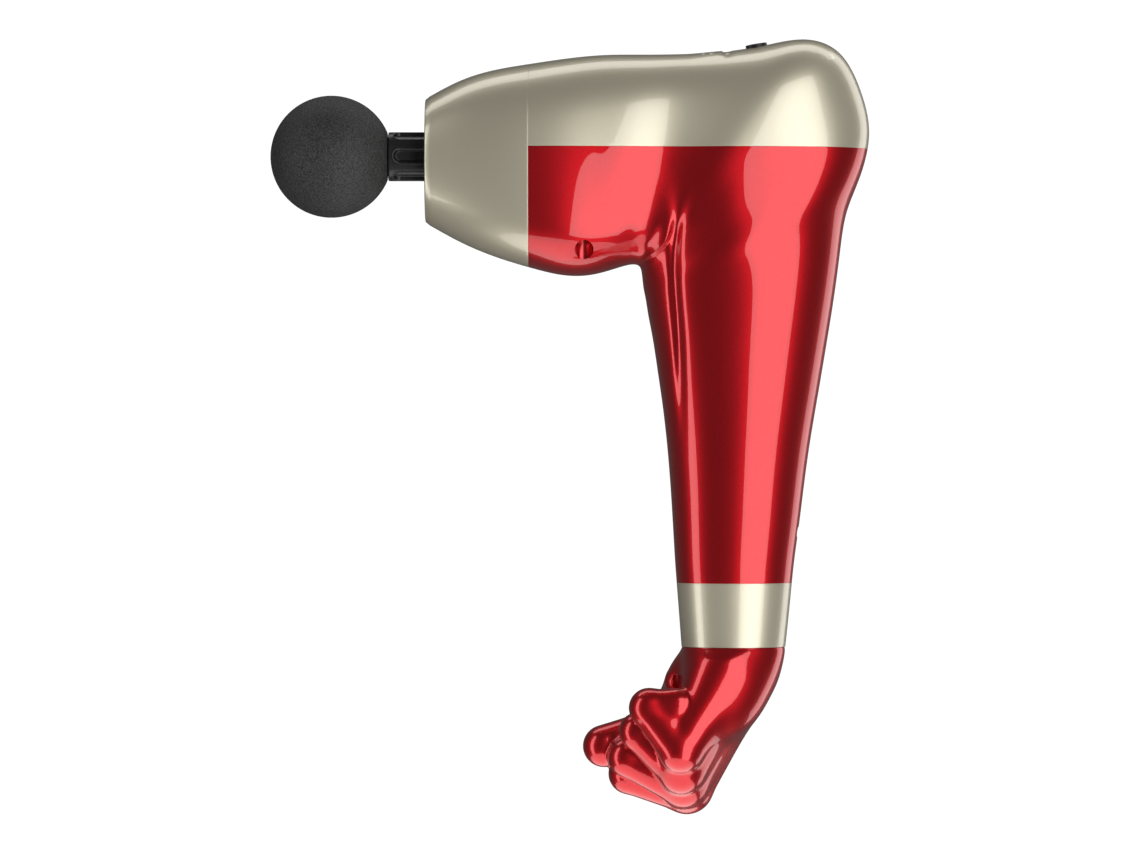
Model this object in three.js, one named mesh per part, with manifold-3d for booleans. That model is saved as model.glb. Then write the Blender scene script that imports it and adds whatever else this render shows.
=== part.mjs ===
// A cordless massage gun whose casing is shaped like a bent arm: the upper arm is the barrel,
// the forearm is the grip and a closed fist is the butt. All sizes are in millimetres, +Z up.
//
// Working frame: X = 0 is the flat front of the nose, +X runs back to the elbow, Z = 0 is the
// plunger's axis and Y = 0 is the plane where the left (-Y) and right (+Y) casings meet. The last
// lines move the whole gun so that the centre of its bounding box is the origin.
import * as THREE from "three";
import { mergeVertices } from "three/addons/utils/BufferGeometryUtils.js";
import Module from "manifold-3d";

const wasm = await Module();
wasm.setup();

// ---------------------------------------------------------------- driving dimensions
const WALL = 2.4; // casing wall
const GAP = 0.3; // parting gap between neighbouring pieces
const HALF_GAP = GAP / 2;
const FAR = 500; // larger than the gun, for cutting boxes

const NOSE_SEAM_X = 41.2; // nose cap to barrel
const TOP_SEAM_Z = 2.9; // top cover to side casings
const BAND_TOP_Z = -170.9; // wrist band
const BAND_BOTTOM_Z = -196.1;
const BAND_WALL = 1.7;
const NECK_WALL = 2; // the casing's neck, inside the band
const COLLAR_WALL = 1.6; // the hand's collar, inside the neck
const COLLAR_TOP_Z = -186;

const STROKE = 10; // full travel of the plunger
const CRANK_RADIUS = STROKE / 2;
const CRANK_X = 128; // motor and crank axis, parallel to Z
const ROLLER_RADIUS = 5;
const SLOT_CLEARANCE = 1.3; // the yoke's slot is this much wider than the roller on each side
const ROD_RADIUS = 7;
const SOCKET_RADIUS = 9.8; // the socket that takes the massage heads
const SOCKET_FRONT_X = -14.8;
const SOCKET_BACK_X = 28;
const BALL_RADIUS = 24.4;
const BALL_X = -37.6;
const NOSE_HOLE_RADIUS = 17;
const CELL_RADIUS = 9.1; // 18650 cell
const CELL_LENGTH = 65;
const CELL_PITCH = 19.4;
const BATTERY_X = 125.6;
const BATTERY_TOP_Z = -56;

// The arm's ribs, from the nose round the elbow to the wrist: the rib's end on the inner side
// [x, z], its end on the outer side [x, z], and half its thickness in Y.
const RIBS = [
  [0, -26.5, 0, 23.1, 24.8],
  [13.8, -34.1, 13.8, 30.3, 29.0],
  [27.5, -39.9, 27.5, 34.6, 31.8],
  [41.2, -44.2, 41.2, 37.0, 33.6],
  [54.5, -47.3, 55.5, 39.1, 34.2],
  [66.0, -47.3, 71.0, 40.6, 33.6],
  [75.5, -44.9, 86.5, 40.8, 31.8],
  [81.8, -43.2, 102, 41.0, 30.0],
  [85.2, -43.6, 118, 41.9, 29.0],
  [86.3, -45.6, 135, 44.4, 29.4],
  [86.6, -47.6, 151.5, 46.9, 30.4],
  [86.8, -49.4, 166, 41.0, 31.0],
  [87.0, -51.2, 174.6, 24.7, 31.0],
  [87.3, -53.2, 177.4, 8.0, 30.8],
  [87.8, -55.6, 173.6, -8.6, 30.2],
  [88.4, -59.0, 168.4, -22.5, 29.4],
  [89.3, -64.5, 165.8, -38.0, 28.8],
  [91.0, -73.5, 163.4, -56.0, 28.2],
  [92.9, -86.0, 160.2, -76.0, 27.2],
  [94.9, -100, 157.0, -95.0, 26.0],
  [96.7, -116, 153.8, -114, 24.8],
  [98.0, -132, 151.3, -132, 23.6],
  [99.0, -148, 149.3, -148, 22.4],
  [99.9, -163, 147.3, -163, 21.4],
  [101.2, -180, 145.6, -180, 20.6],
  [102.4, -196.1, 143.9, -196.1, 20.0],
];
const LAST_RIB = RIBS.length - 1;
const SQUARENESS = 0.05; // 0 makes the cross-sections plain ellipses
const OUTER = { sides: 22, step: 0.5 }; // facets round the outside, and ribs between its rings
const INNER = { sides: 16, step: 1 };

// The fist: for each finger its place in Y and the ball joints [x, z, radius] of its knuckle, of
// its folded middle joint and of the joint tucked into the palm.
const FINGERS = [
  {
    y: -17,
    hand: [119, -204, 12],
    knuckle: [101.8, -236.2, 8.7],
    fold: [89.2, -219.8, 7.7],
    tuck: [99.5, -219.4, 7.2],
  },
  {
    y: -6,
    hand: [121, -202, 13],
    knuckle: [102.2, -244.8, 9.2],
    fold: [85, -229.6, 7.4],
    tuck: [97, -226, 7.2],
  },
  {
    y: 5.5,
    hand: [122.5, -203, 14],
    knuckle: [103, -250.6, 9.4],
    fold: [80.8, -240.4, 7.7],
    tuck: [93, -233, 7.4],
  },
  {
    y: 17,
    hand: [124.5, -205, 15],
    knuckle: [104.6, -253.4, 10],
    fold: [81.6, -247.6, 8],
    tuck: [92, -238.6, 7.4],
  },
];
const THUMB = [
  [110.6, 6, -209, 13.8],
  [101, 17, -222, 9.2],
  [88, 18, -231.2, 8.2],
  [71.5, 14, -236.4, 8.5],
];

// ---------------------------------------------------------------- materials
function finish(color, roughness, metalness) {
  return new THREE.MeshStandardMaterial({ color, roughness, metalness });
}


const GOLD = finish(0xb3aa90, 0.25, 0.7);
const RED = finish(0xb0101c, 0.2, 0.6);
const BLACK_FOAM = finish(0x2a2a2a, 0.9, 0);
const BLACK_PLASTIC = finish(0x1c1c1e, 0.45, 0);
const GREY_PLASTIC = finish(0x4a4c50, 0.6, 0);
const RUBBER = finish(0x141414, 0.8, 0);
const STEEL = finish(0xb8bcc0, 0.3, 1);
const ALUMINIUM = finish(0xa8acb0, 0.45, 1);
const COPPER = finish(0xb4622e, 0.35, 1);
const BRONZE = finish(0xa87838, 0.4, 1);
const BOARD = finish(0x1f5a34, 0.5, 0);
const CELL_WRAP = finish(0x2c6fb0, 0.4, 0);
const LED_WINDOW = finish(0xf2f4f6, 0.3, 0);
const WIRE_RED = finish(0xa01818, 0.5, 0);
const WIRE_BLACK = finish(0x181818, 0.5, 0);

// ---------------------------------------------------------------- solids
// A three.js geometry as a manifold solid.
function solid(geometry) {
  const bare = geometry.index ? geometry.toNonIndexed() : geometry.clone();
  bare.deleteAttribute("normal");
  bare.deleteAttribute("uv");
  const merged = mergeVertices(bare, 1e-4);
  return new wasm.Manifold(
    new wasm.Mesh({
      numProp: 3,
      vertProperties: new Float32Array(merged.attributes.position.array),
      triVerts: new Uint32Array(merged.index.array),
    }),
  );
}

// A manifold solid as a three.js geometry.
function geometryOf(body) {
  const mesh = body.getMesh();
  return new THREE.BufferGeometry()
    .setAttribute("position", new THREE.BufferAttribute(new Float32Array(mesh.vertProperties), 3))
    .setIndex(new THREE.BufferAttribute(new Uint32Array(mesh.triVerts), 1));
}

function join(...bodies) {
  return bodies.reduce((sum, body) => sum.add(body));
}

function cut(body, ...tools) {
  return tools.reduce((rest, tool) => rest.subtract(tool), body);
}

// A box from its limits; a limit left out reaches past the gun.
function box({ x = [-FAR, FAR], y = [-FAR, FAR], z = [-FAR, FAR] }) {
  const geometry = new THREE.BoxGeometry(x[1] - x[0], y[1] - y[0], z[1] - z[0]);
  geometry.translate((x[0] + x[1]) / 2, (y[0] + y[1]) / 2, (z[0] + z[1]) / 2);
  return solid(geometry);
}

const AXIS_TURN = {
  x: new THREE.Matrix4().makeRotationZ(-Math.PI / 2),
  y: new THREE.Matrix4(),
  z: new THREE.Matrix4().makeRotationX(Math.PI / 2),
};

// A cylinder or cone along an axis, between two places on it, centred on the other two coordinates.
function rod(axis, from, to, radius, centre = {}, { endRadius = radius, sides = 20 } = {}) {
  const geometry = new THREE.CylinderGeometry(endRadius, radius, to - from, sides);
  geometry.applyMatrix4(AXIS_TURN[axis]);
  const middle = { x: 0, y: 0, z: 0, ...centre, [axis]: (from + to) / 2 };
  geometry.translate(middle.x, middle.y, middle.z);
  return solid(geometry);
}

function tube(axis, from, to, outer, inner, centre, sides = 20) {
  return cut(
    rod(axis, from, to, outer, centre, { sides }),
    rod(axis, from - 1, to + 1, inner, centre, { sides }),
  );
}

// A closed skin over rings of points that all have the same count, with a flat fan at each end.
function loft(rings) {
  const count = rings[0].length;
  const points = rings.flat();
  const middle = (ring) => ring.reduce((sum, p) => sum.add(p), new THREE.Vector3()).divideScalar(count);
  points.push(middle(rings[0]), middle(rings.at(-1)));
  const first = points.length - 2;
  const index = [];
  for (let k = 0; k < count; k++) {
    const next = (k + 1) % count;
    for (let r = 0; r + 1 < rings.length; r++) {
      const a = r * count;
      const b = a + count;
      index.push(a + k, a + next, b + next, a + k, b + next, b + k);
    }
    const last = (rings.length - 1) * count;
    index.push(first, next, k, first + 1, last + k, last + next);
  }
  const geometry = new THREE.BufferGeometry().setFromPoints(points).setIndex(index);
  const made = solid(geometry);
  return made.volume() > 0 ? made : solid(geometry.setIndex(index.reverse()));
}

// A ball-ended cone between two ball joints.
function limb(from, to, sides = 8) {
  const a = new THREE.Vector3(from[0], from[1], from[2]);
  const b = new THREE.Vector3(to[0], to[1], to[2]);
  const length = a.distanceTo(b);
  const lean = Math.asin((from[3] - to[3]) / length);
  const profile = [];
  const capSteps = 2;
  for (let i = 0; i <= capSteps; i++) {
    const angle = -Math.PI / 2 + ((Math.PI / 2 + lean) * i) / capSteps;
    profile.push(new THREE.Vector2(from[3] * Math.cos(angle), from[3] * Math.sin(angle)));
  }
  for (let i = 0; i <= capSteps; i++) {
    const angle = lean + ((Math.PI / 2 - lean) * i) / capSteps;
    profile.push(new THREE.Vector2(to[3] * Math.cos(angle), length + to[3] * Math.sin(angle)));
  }
  profile[0].x = 0;
  profile.at(-1).x = 0;
  const geometry = new THREE.LatheGeometry(profile, sides);
  const turn = new THREE.Quaternion().setFromUnitVectors(new THREE.Vector3(0, 1, 0), b.sub(a).normalize());
  geometry.applyQuaternion(turn);
  geometry.translate(a.x, a.y, a.z);
  return solid(geometry);
}

// ---------------------------------------------------------------- the arm's skin
const curveThrough = (points) => new THREE.CatmullRomCurve3(points, false, "catmullrom", 0.5);
const innerEdge = curveThrough(RIBS.map(([x, z]) => new THREE.Vector3(x, 0, z)));
const outerEdge = curveThrough(RIBS.map(([, , x, z]) => new THREE.Vector3(x, 0, z)));
const thickness = curveThrough(RIBS.map((rib) => new THREE.Vector3(rib[4], 0, 0)));
const bump = (value, centre, width) => Math.exp(-(((value - centre) / width) ** 2));
const ramp = (value, low, high) => THREE.MathUtils.smoothstep(value, low, high);

// How far the side is pressed in at a rib, at a share of the way from its inner to its outer end:
// the fold inside the elbow, and the groove beside the long muscle at the front of the forearm.
function hollow(rib, share) {
  const foldDepth = 4.5 * bump(share, 0.05, 0.22) + 1.2 * (1 - share);
  const fold = foldDepth * bump(rib, 8.5 + 0.8 * share, 0.5 + 0.9 * share);
  const grooveAt = THREE.MathUtils.lerp(0.34, 0.05, ramp(rib, 8.5, 21));
  const groove = 1.8 * ramp(rib, 8.5, 10.5) * (1 - ramp(rib, 16, 21)) * bump(share, grooveAt, 0.06);
  return fold + groove;
}

function ribRing(rib, inset, sides) {
  const from = innerEdge.getPoint(rib / LAST_RIB);
  const to = outerEdge.getPoint(rib / LAST_RIB);
  const centre = from.clone().add(to).multiplyScalar(0.5);
  const half = to.clone().sub(from).multiplyScalar(0.5);
  const reach = half.length();
  half.multiplyScalar((reach - inset) / reach);
  const width = thickness.getPoint(rib / LAST_RIB).x;
  const ring = [];
  for (let k = 0; k < sides; k++) {
    const angle = (2 * Math.PI * k) / sides;
    const along = Math.cos(angle) * (1 + SQUARENESS * Math.sin(angle) ** 2);
    const across = Math.sin(angle) * (1 + SQUARENESS * Math.cos(angle) ** 2);
    const side = across * (width - inset) * (1 - hollow(rib, (1 + along) / 2) / width);
    ring.push(centre.clone().addScaledVector(half, along).add(new THREE.Vector3(0, side, 0)));
  }
  return ring;
}

function armSolid({ from = 0, to = LAST_RIB, inset = 0, sides = OUTER.sides, step = OUTER.step }) {
  const rings = [];
  for (let rib = from; rib < to + step / 2; rib += step) rings.push(ribRing(Math.min(rib, to), inset, sides));
  return loft(rings);
}

const NECK_INSET = BAND_WALL + GAP;
const COLLAR_INSET = NECK_INSET + NECK_WALL + GAP;
const WRIST_FROM = 22; // the last ribs, which are level
const CAVITY_FROM = 0.2; // leaves the nose a front wall
const insideArm = (inset) => armSolid({ ...INNER, from: CAVITY_FROM, inset });
const armOuter = armSolid({});
const armCavity = insideArm(WALL);
const wristAt = (inset) => armSolid({ from: WRIST_FROM, inset });
const below = (z) => box({ z: [-FAR, z] });
const above = (z) => box({ z: [z, FAR] });

// ---------------------------------------------------------------- the fist
function handOuter() {
  const parts = [];
  for (const { y, hand, knuckle, fold, tuck } of FINGERS) {
    const joints = [hand, knuckle, fold, tuck].map(([x, z, radius]) => [x, y, z, radius]);
    joints[0][1] = y * 0.4; // the hand's bones meet at the wrist
    for (let i = 0; i < 3; i++) parts.push(limb(joints[i], joints[i + 1]));
    parts.push(limb(joints[1], joints[3])); // fills the folded finger's side
  }
  for (let i = 0; i < 3; i++) parts.push(limb(THUMB[i], THUMB[i + 1]));
  const wristRing = (z, shiftX, halfX, halfY) => {
    const ring = [];
    for (let k = 0; k < 24; k++) {
      const angle = (2 * Math.PI * k) / 24;
      ring.push(new THREE.Vector3(123.15 + shiftX + halfX * Math.cos(angle), halfY * Math.sin(angle), z));
    }
    return ring;
  };
  const top = BAND_BOTTOM_Z - GAP;
  parts.push(
    loft([
      wristRing(top, 0, 20.7, 19.9),
      wristRing(top - 9, -1, 20.4, 20.6),
      wristRing(top - 20, -4.5, 19, 21.5),
      wristRing(top - 32, -9.5, 16.5, 20),
      wristRing(top - 44, -15, 11, 14),
    ]),
  );
  return join(...parts).intersect(below(top));
}

function handCavity() {
  const ring = (z, centreX, halfX, halfY) => {
    const points = [];
    for (let k = 0; k < 16; k++) {
      const angle = (2 * Math.PI * k) / 16;
      points.push(new THREE.Vector3(centreX + halfX * Math.cos(angle), halfY * Math.sin(angle), z));
    }
    return points;
  };
  return loft([
    ring(BAND_BOTTOM_Z + 1, 123.1, 14.6, 13.9),
    ring(-206, 121.5, 14.6, 13.9),
    ring(-220, 117, 13, 13.5),
    ring(-234, 110, 8, 11),
  ]);
}

// ---------------------------------------------------------------- scene helpers
const gun = new THREE.Group();

function add(name, body, material) {
  const mesh = new THREE.Mesh(body.isBufferGeometry ? body : geometryOf(body), material);
  mesh.name = name;
  gun.add(mesh);
  return mesh;
}

const LEFT_TO_RIGHT = [0, 0, 0];
const UPWARDS = [90, 0, 0];
const DOWNWARDS = [-90, 0, 0];

// A socket-head screw. `head` is the middle of the head's outer face.
function screw(name, head, turn, { length, headRadius = 2.6, headHeight = 2, shankRadius = 1.3 }) {
  const cap = cut(
    rod("y", 0, headHeight, headRadius, {}, { sides: 14 }),
    rod("y", -1, headHeight / 2, headRadius / 2, {}, { sides: 6 }),
  );
  const shank = rod("y", headHeight - 0.1, headHeight + length, shankRadius, {}, { sides: 10 });
  return add(name, join(cap, shank).rotate(turn).translate(head), STEEL);
}

// A lead: a round wire that follows a smooth curve through the given places.
function lead(name, places, radius, material) {
  const circle = new THREE.Shape();
  circle.absarc(0, 0, radius, 0, 2 * Math.PI);
  const path = new THREE.CatmullRomCurve3(places.map((place) => new THREE.Vector3(...place)));
  const settings = { steps: 14, curveSegments: 4, extrudePath: path, bevelEnabled: false };
  return add(name, solid(new THREE.ExtrudeGeometry(circle, settings)), material);
}

// ---------------------------------------------------------------- casings
const BARREL_SCREW = { x: 63.4, z: -37.7, seatY: -13, recess: 3.7 };
const HAND_SCREW = { x: 100.8, z: -210, seatY: 0.4, recess: 3.1 };
const HAND_SPLIT_Y = 4; // the hand's halves meet beside the middle finger
const THREAD_RADIUS = 1.55;
const POST_RADIUS = 2.4; // the casing's posts, which carry the drive's rubber isolators
const POST_TIP_Y = 16.6;
const ISOLATORS = {
  left_front: [72, -1],
  right_front: [72, 1],
  left_rear: [146.5, -1],
  right_rear: [146.5, 1],
};
const ISOLATOR_Z = -14.2;
const CHARGER_Z = -150; // charging socket, in the back of the forearm
const BUTTON = { x: 132.4, z: 43.95, tilt: 0.167, radius: 4.3 }; // on the skin of the top cover
const LAMPS = [
  [111, -6.2],
  [111, 6.2],
  [114.2, -7.2],
  [114.2, 7.2],
  [120.6, -7.6],
  [120.6, 7.6],
];
const LAMP_RADIUS = 0.75;
const BOARD_Z = 30; // underside of the control board
const BOARD_SCREWS_X = [101, 142.5];
const SPIGOT = { from: 36, to: 46.5, wall: 1.6 };
const HOOK = { places: [58, 84, 112], inset: 3.2, wall: 1.6, tongueZ: [-3, 12], rootZ: [5.5, 12] };

const BEHIND_NOSE = { x: [NOSE_SEAM_X + HALF_GAP, FAR] };
const leftOf = (y) => box({ y: [-FAR, y - HALF_GAP] });
const rightOf = (y) => box({ y: [y + HALF_GAP, FAR] });

function bodySkin() {
  const arm = armOuter.intersect(above(BAND_TOP_Z + HALF_GAP));
  const upper = cut(arm, armCavity.intersect(above(BAND_TOP_Z + WALL)));
  const neck = wristAt(NECK_INSET).intersect(box({ z: [BAND_BOTTOM_Z, BAND_TOP_Z + 1] }));
  return cut(join(upper, neck), wristAt(NECK_INSET + NECK_WALL).intersect(below(BAND_TOP_Z + WALL + 1)));
}

const skin = bodySkin();

// The boss round a casing screw, its recess for the head and the bores for its shank.
function screwBoss({ x, z, seatY, recess }, splitY) {
  const at = { x, z };
  return {
    left: rod("y", seatY - 25, splitY - HALF_GAP, recess + 2, at, { sides: 20 }),
    right: rod("y", splitY + HALF_GAP, splitY + 25, recess + 1, at, { sides: 16 }),
    recess: rod("y", seatY - 40, seatY, recess, at),
    clearance: rod("y", seatY - 1, splitY + 1, THREAD_RADIUS + 0.25, at, { sides: 12 }),
    thread: rod("y", splitY - 1, splitY + 13, THREAD_RADIUS, at, { sides: 12 }),
  };
}

const chargerCut = box({ x: [144, 160], y: [-5, 5], z: [CHARGER_Z - 2.1, CHARGER_Z + 2.1] });

function isolatorPosts(side) {
  const own = Object.values(ISOLATORS).filter((place) => place[1] === side);
  return own.map(([x]) => {
    const [from, to] = side < 0 ? [-40, -POST_TIP_Y] : [POST_TIP_Y, 40];
    return rod("y", from, to, POST_RADIUS, { x, z: ISOLATOR_Z }, { sides: 12 });
  });
}

function sideCasing(side, boss) {
  const lower = below(TOP_SEAM_Z - HALF_GAP).intersect(box(BEHIND_NOSE));
  const half = (side < 0 ? leftOf(0) : rightOf(0)).intersect(lower);
  const fittings = join(boss, ...isolatorPosts(side)).intersect(armOuter);
  return cut(join(skin.intersect(half), fittings), chargerCut);
}

function bodyShells() {
  const boss = screwBoss(BARREL_SCREW, 0);
  add("left_body_shell", cut(sideCasing(-1, boss.left), boss.recess, boss.clearance), RED);
  add("right_body_shell", cut(sideCasing(1, boss.right), boss.thread), RED);
  const head = [BARREL_SCREW.x, BARREL_SCREW.seatY - 2 - GAP, BARREL_SCREW.z];
  screw("body_screw", head, LEFT_TO_RIGHT, { length: 22 });
}

// Puts something drawn about the button's own axis, with the skin at its Z = 0, in its place.
function onButton(body) {
  return body.rotate([0, -THREE.MathUtils.radToDeg(BUTTON.tilt), 0]).translate([BUTTON.x, 0, BUTTON.z]);
}

// The gold cover, with the hooks that clip it inside the side casings and the board's two posts.
function topCover() {
  const cover = skin.intersect(box({ ...BEHIND_NOSE, z: [TOP_SEAM_Z + HALF_GAP, FAR] }));
  const hookInside = insideArm(HOOK.inset + HOOK.wall);
  const tongue = cut(insideArm(HOOK.inset), hookInside).intersect(box({ z: HOOK.tongueZ }));
  const root = cut(insideArm(WALL / 2), hookInside).intersect(box({ z: HOOK.rootZ }));
  const hooks = HOOK.places.map((x) => join(tongue, root).intersect(box({ x: [x - 3.5, x + 3.5] })));
  const posts = BOARD_SCREWS_X.map((x) => rod("z", BOARD_Z + 1.9, 50, 2.8, { x }, { sides: 14 }));
  const lamps = LAMPS.map(([x, y]) => rod("z", 30, 60, LAMP_RADIUS + GAP, { x, y }, { sides: 8 }));
  const threads = BOARD_SCREWS_X.map((x) => rod("z", BOARD_Z, 38, THREAD_RADIUS, { x }, { sides: 12 }));
  const whole = join(cover, ...hooks, ...posts.map((post) => post.intersect(insideArm(WALL / 2))));
  const buttonHole = onButton(rod("z", -12, 12, BUTTON.radius + GAP, {}, { sides: 28 }));
  return cut(whole, buttonHole, ...lamps, ...threads);
}

function noseCap() {
  const wall = cut(armOuter, armCavity).intersect(box({ x: [-FAR, NOSE_SEAM_X - HALF_GAP] }));
  const bore = insideArm(WALL + GAP + SPIGOT.wall);
  const lip = cut(insideArm(WALL + GAP), bore);
  const root = cut(insideArm(WALL / 2), bore);
  const spigot = join(
    lip.intersect(box({ x: [SPIGOT.from, SPIGOT.to] })),
    root.intersect(box({ x: [SPIGOT.from, NOSE_SEAM_X - HALF_GAP] })),
  );
  return cut(join(wall, spigot), rod("x", -1, 20, NOSE_HOLE_RADIUS, {}, { sides: 40 }));
}

function wristBand() {
  const height = box({ z: [BAND_BOTTOM_Z, BAND_TOP_Z - HALF_GAP] });
  return cut(armOuter.intersect(height), wristAt(BAND_WALL));
}

function handShells() {
  const top = BAND_BOTTOM_Z - GAP;
  const collar = wristAt(COLLAR_INSET).intersect(box({ z: [BAND_BOTTOM_Z, COLLAR_TOP_Z] }));
  const root = wristRoot(COLLAR_INSET, top - 3, BAND_BOTTOM_Z + 1);
  const bore = wristRoot(COLLAR_INSET + COLLAR_WALL, top - 6, COLLAR_TOP_Z + 1);
  const hollow = handCavity();
  const boss = screwBoss(HAND_SCREW, HAND_SPLIT_Y);
  const outside = handOuter();
  const shell = cut(join(outside, collar, root), bore, hollow);
  const left = join(shell.intersect(leftOf(HAND_SPLIT_Y)), boss.left.intersect(outside));
  const right = join(shell.intersect(rightOf(HAND_SPLIT_Y)), boss.right.intersect(outside));
  add("left_hand_shell", cut(left, boss.recess, boss.clearance), RED);
  add("right_hand_shell", cut(right, boss.thread), RED);
  const head = [HAND_SCREW.x, HAND_SCREW.seatY - 2 - GAP, HAND_SCREW.z];
  screw("hand_screw", head, LEFT_TO_RIGHT, { length: 13 });
}

// A straight stub with the wrist's outline at the end of the arm, pressed in by `inset`.
function wristRoot(inset, from, to) {
  const outline = ribRing(LAST_RIB, inset, OUTER.sides);
  return loft([from, to].map((z) => outline.map((p) => new THREE.Vector3(p.x, p.y, z))));
}

function lightGuide() {
  const plate = box({ x: [108.5, 123.5], y: [-9, 9], z: [33.4, 35] });
  const pips = LAMPS.map(([x, y]) => rod("z", 34, 60, LAMP_RADIUS, { x, y }, { sides: 8 }));
  return join(plate, ...pips.map((pip) => pip.intersect(armOuter)));
}

function powerButton() {
  const cap = rod("z", -3.2, 0.6, BUTTON.radius, {}, { sides: 28 });
  const rim = rod("z", 0.6, 1.1, BUTTON.radius, {}, { endRadius: BUTTON.radius - 0.5, sides: 28 });
  const flange = rod("z", -4.6, -3.2, BUTTON.radius + 1.1, {}, { sides: 28 });
  const stem = rod("z", -6.7, -4, 1.3, {}, { sides: 12 });
  return onButton(join(cap, rim, flange, stem));
}

// ---------------------------------------------------------------- plunger and massage head
const NECK_BACK_X = 6; // the ball's neck ends here, inside the socket
const NECK_RADIUS = 6.5;
const ROD_STEP_X = 108; // the rod narrows behind this, to pass over the crank disc
const YOKE_HALF_Z = 4.8;
const PIN_RADIUS = 2.5;
const SLOT_HALF_X = ROLLER_RADIUS + SLOT_CLEARANCE;
const SLOT_HALF_Y = CRANK_RADIUS + ROLLER_RADIUS + SLOT_CLEARANCE;
const YOKE_RIM = 4;
const FLUTES = 6;

function massageBall() {
  const ball = new THREE.SphereGeometry(BALL_RADIUS, 28, 16);
  ball.translate(BALL_X, 0, 0);
  const face = SOCKET_FRONT_X - GAP;
  const neck = rod("x", face - 8, NECK_BACK_X, NECK_RADIUS);
  return join(solid(ball).intersect(box({ x: [-FAR, face] })), neck);
}

// The socket, with round-ended flutes that run back from its mouth.
function plungerSocket() {
  const body = rod("x", SOCKET_FRONT_X, SOCKET_BACK_X, SOCKET_RADIUS, {}, { sides: 36 });
  const flutes = [];
  for (let k = 0; k < FLUTES; k++) {
    const groove = join(
      rod("z", SOCKET_RADIUS - 1.2, 20, 2.4, { x: SOCKET_FRONT_X + 5 }, { sides: 12 }),
      box({ x: [SOCKET_FRONT_X + 5, 14], y: [-2.4, 2.4], z: [SOCKET_RADIUS - 1.2, 20] }),
      rod("z", SOCKET_RADIUS - 1.2, 20, 2.4, { x: 14 }, { sides: 12 }),
    );
    flutes.push(groove.rotate([30 + (360 * k) / FLUTES, 0, 0]));
  }
  const mouth = rod("x", -20, NECK_BACK_X + 2, NECK_RADIUS + GAP);
  const rodSeat = rod("x", 14, 40, 4.8);
  return cut(body, mouth, rodSeat, ...flutes);
}

// The rod and the cross slot at its back, in which the crank's roller runs from side to side.
function plungerRod() {
  const spigot = rod("x", 16, SOCKET_BACK_X + 1, 4.5);
  const shaft = rod("x", SOCKET_BACK_X + GAP, ROD_STEP_X, ROD_RADIUS, {}, { sides: 28 });
  const frontX = CRANK_X - SLOT_HALF_X - YOKE_RIM;
  const neck = box({ x: [ROD_STEP_X - 2, frontX + 1], y: [-6, 6], z: [-YOKE_HALF_Z, YOKE_HALF_Z] });
  const blockY = SLOT_HALF_Y + YOKE_RIM;
  const block = box({
    x: [frontX, 2 * CRANK_X - frontX],
    y: [-blockY, blockY],
    z: [-YOKE_HALF_Z, YOKE_HALF_Z],
  });
  const ends = [-1, 1].map((side) => {
    const y = side * (SLOT_HALF_Y - SLOT_HALF_X);
    return rod("z", -20, 20, SLOT_HALF_X, { x: CRANK_X, y }, { sides: 28 });
  });
  const middle = box({
    x: [CRANK_X - SLOT_HALF_X, CRANK_X + SLOT_HALF_X],
    y: [SLOT_HALF_X - SLOT_HALF_Y, SLOT_HALF_Y - SLOT_HALF_X],
  });
  return cut(join(spigot, shaft, neck, block), ...ends, middle);
}

function noseSeal() {
  const lip = tube("x", 0.6, 2.4, NOSE_HOLE_RADIUS - GAP, SOCKET_RADIUS + GAP, {}, 40);
  const rim = tube("x", 2.2, 5, NOSE_HOLE_RADIUS - GAP, NOSE_HOLE_RADIUS - 2.6, {}, 40);
  return join(lip, rim);
}

// ---------------------------------------------------------------- drive
const PLATE = { from: 60, to: 149, halfY: 18, bottom: -16, top: -12.5 };
const GUIDE = { from: 50, to: 93, outer: 13, bore: 9.8 };
const MOTOR_AT = { x: CRANK_X };
const BEARING = { outer: 4.7, bore: 2.3, height: 4 };
const SHAFT_RADIUS = 2;
const MOTOR_BOTTOM_Z = -45;
const MOTOR_TOP_Z = PLATE.bottom - GAP;
const MOTOR_SCREW_CIRCLE = 16.6;
const MOTOR_SCREW_ANGLES = [60, 180, 300];
const DISC = { bottom: -10.2, top: -6.2, radius: 14 };

const onCircle = (radius, degrees) => {
  const angle = THREE.MathUtils.degToRad(degrees);
  return { x: CRANK_X + radius * Math.cos(angle), y: radius * Math.sin(angle) };
};

// The cast frame: the rod's guide, the plate that carries the motor, and four ears on isolators.
function driveFrame() {
  const guide = rod("x", GUIDE.from, GUIDE.to, GUIDE.outer, {}, { sides: 32 });
  const saddle = box({ x: [GUIDE.from + 10, GUIDE.to], y: [-8, 8], z: [PLATE.bottom, -8] });
  const plate = box({
    x: [PLATE.from, PLATE.to],
    y: [-PLATE.halfY, PLATE.halfY],
    z: [PLATE.bottom, PLATE.top],
  });
  const ears = Object.values(ISOLATORS).map(([x, side]) => {
    const [from, to] = side < 0 ? [-22, -16] : [16, 22];
    return [from, to, { x, z: ISOLATOR_Z }];
  });
  const motorBore = rod("z", -20, 0, 6.5, MOTOR_AT);
  const leadSlot = box({ x: [94.5, 101.5], y: [-19, -8.5], z: [PLATE.bottom - 1, PLATE.top + 1] });
  const screwBores = MOTOR_SCREW_ANGLES.map((angle) => {
    return rod("z", -20, 0, THREAD_RADIUS, onCircle(MOTOR_SCREW_CIRCLE, angle), { sides: 12 });
  });
  return cut(
    join(guide, saddle, plate, ...ears.map(([from, to, at]) => rod("y", from, to, 7.8, at))),
    rod("x", GUIDE.from - 1, GUIDE.to + 1, GUIDE.bore, {}, { sides: 32 }),
    ...ears.map(([from, to, at]) => rod("y", from - 1, to + 1, 5.8, at)),
    motorBore,
    leadSlot,
    ...screwBores,
  );
}

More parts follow.
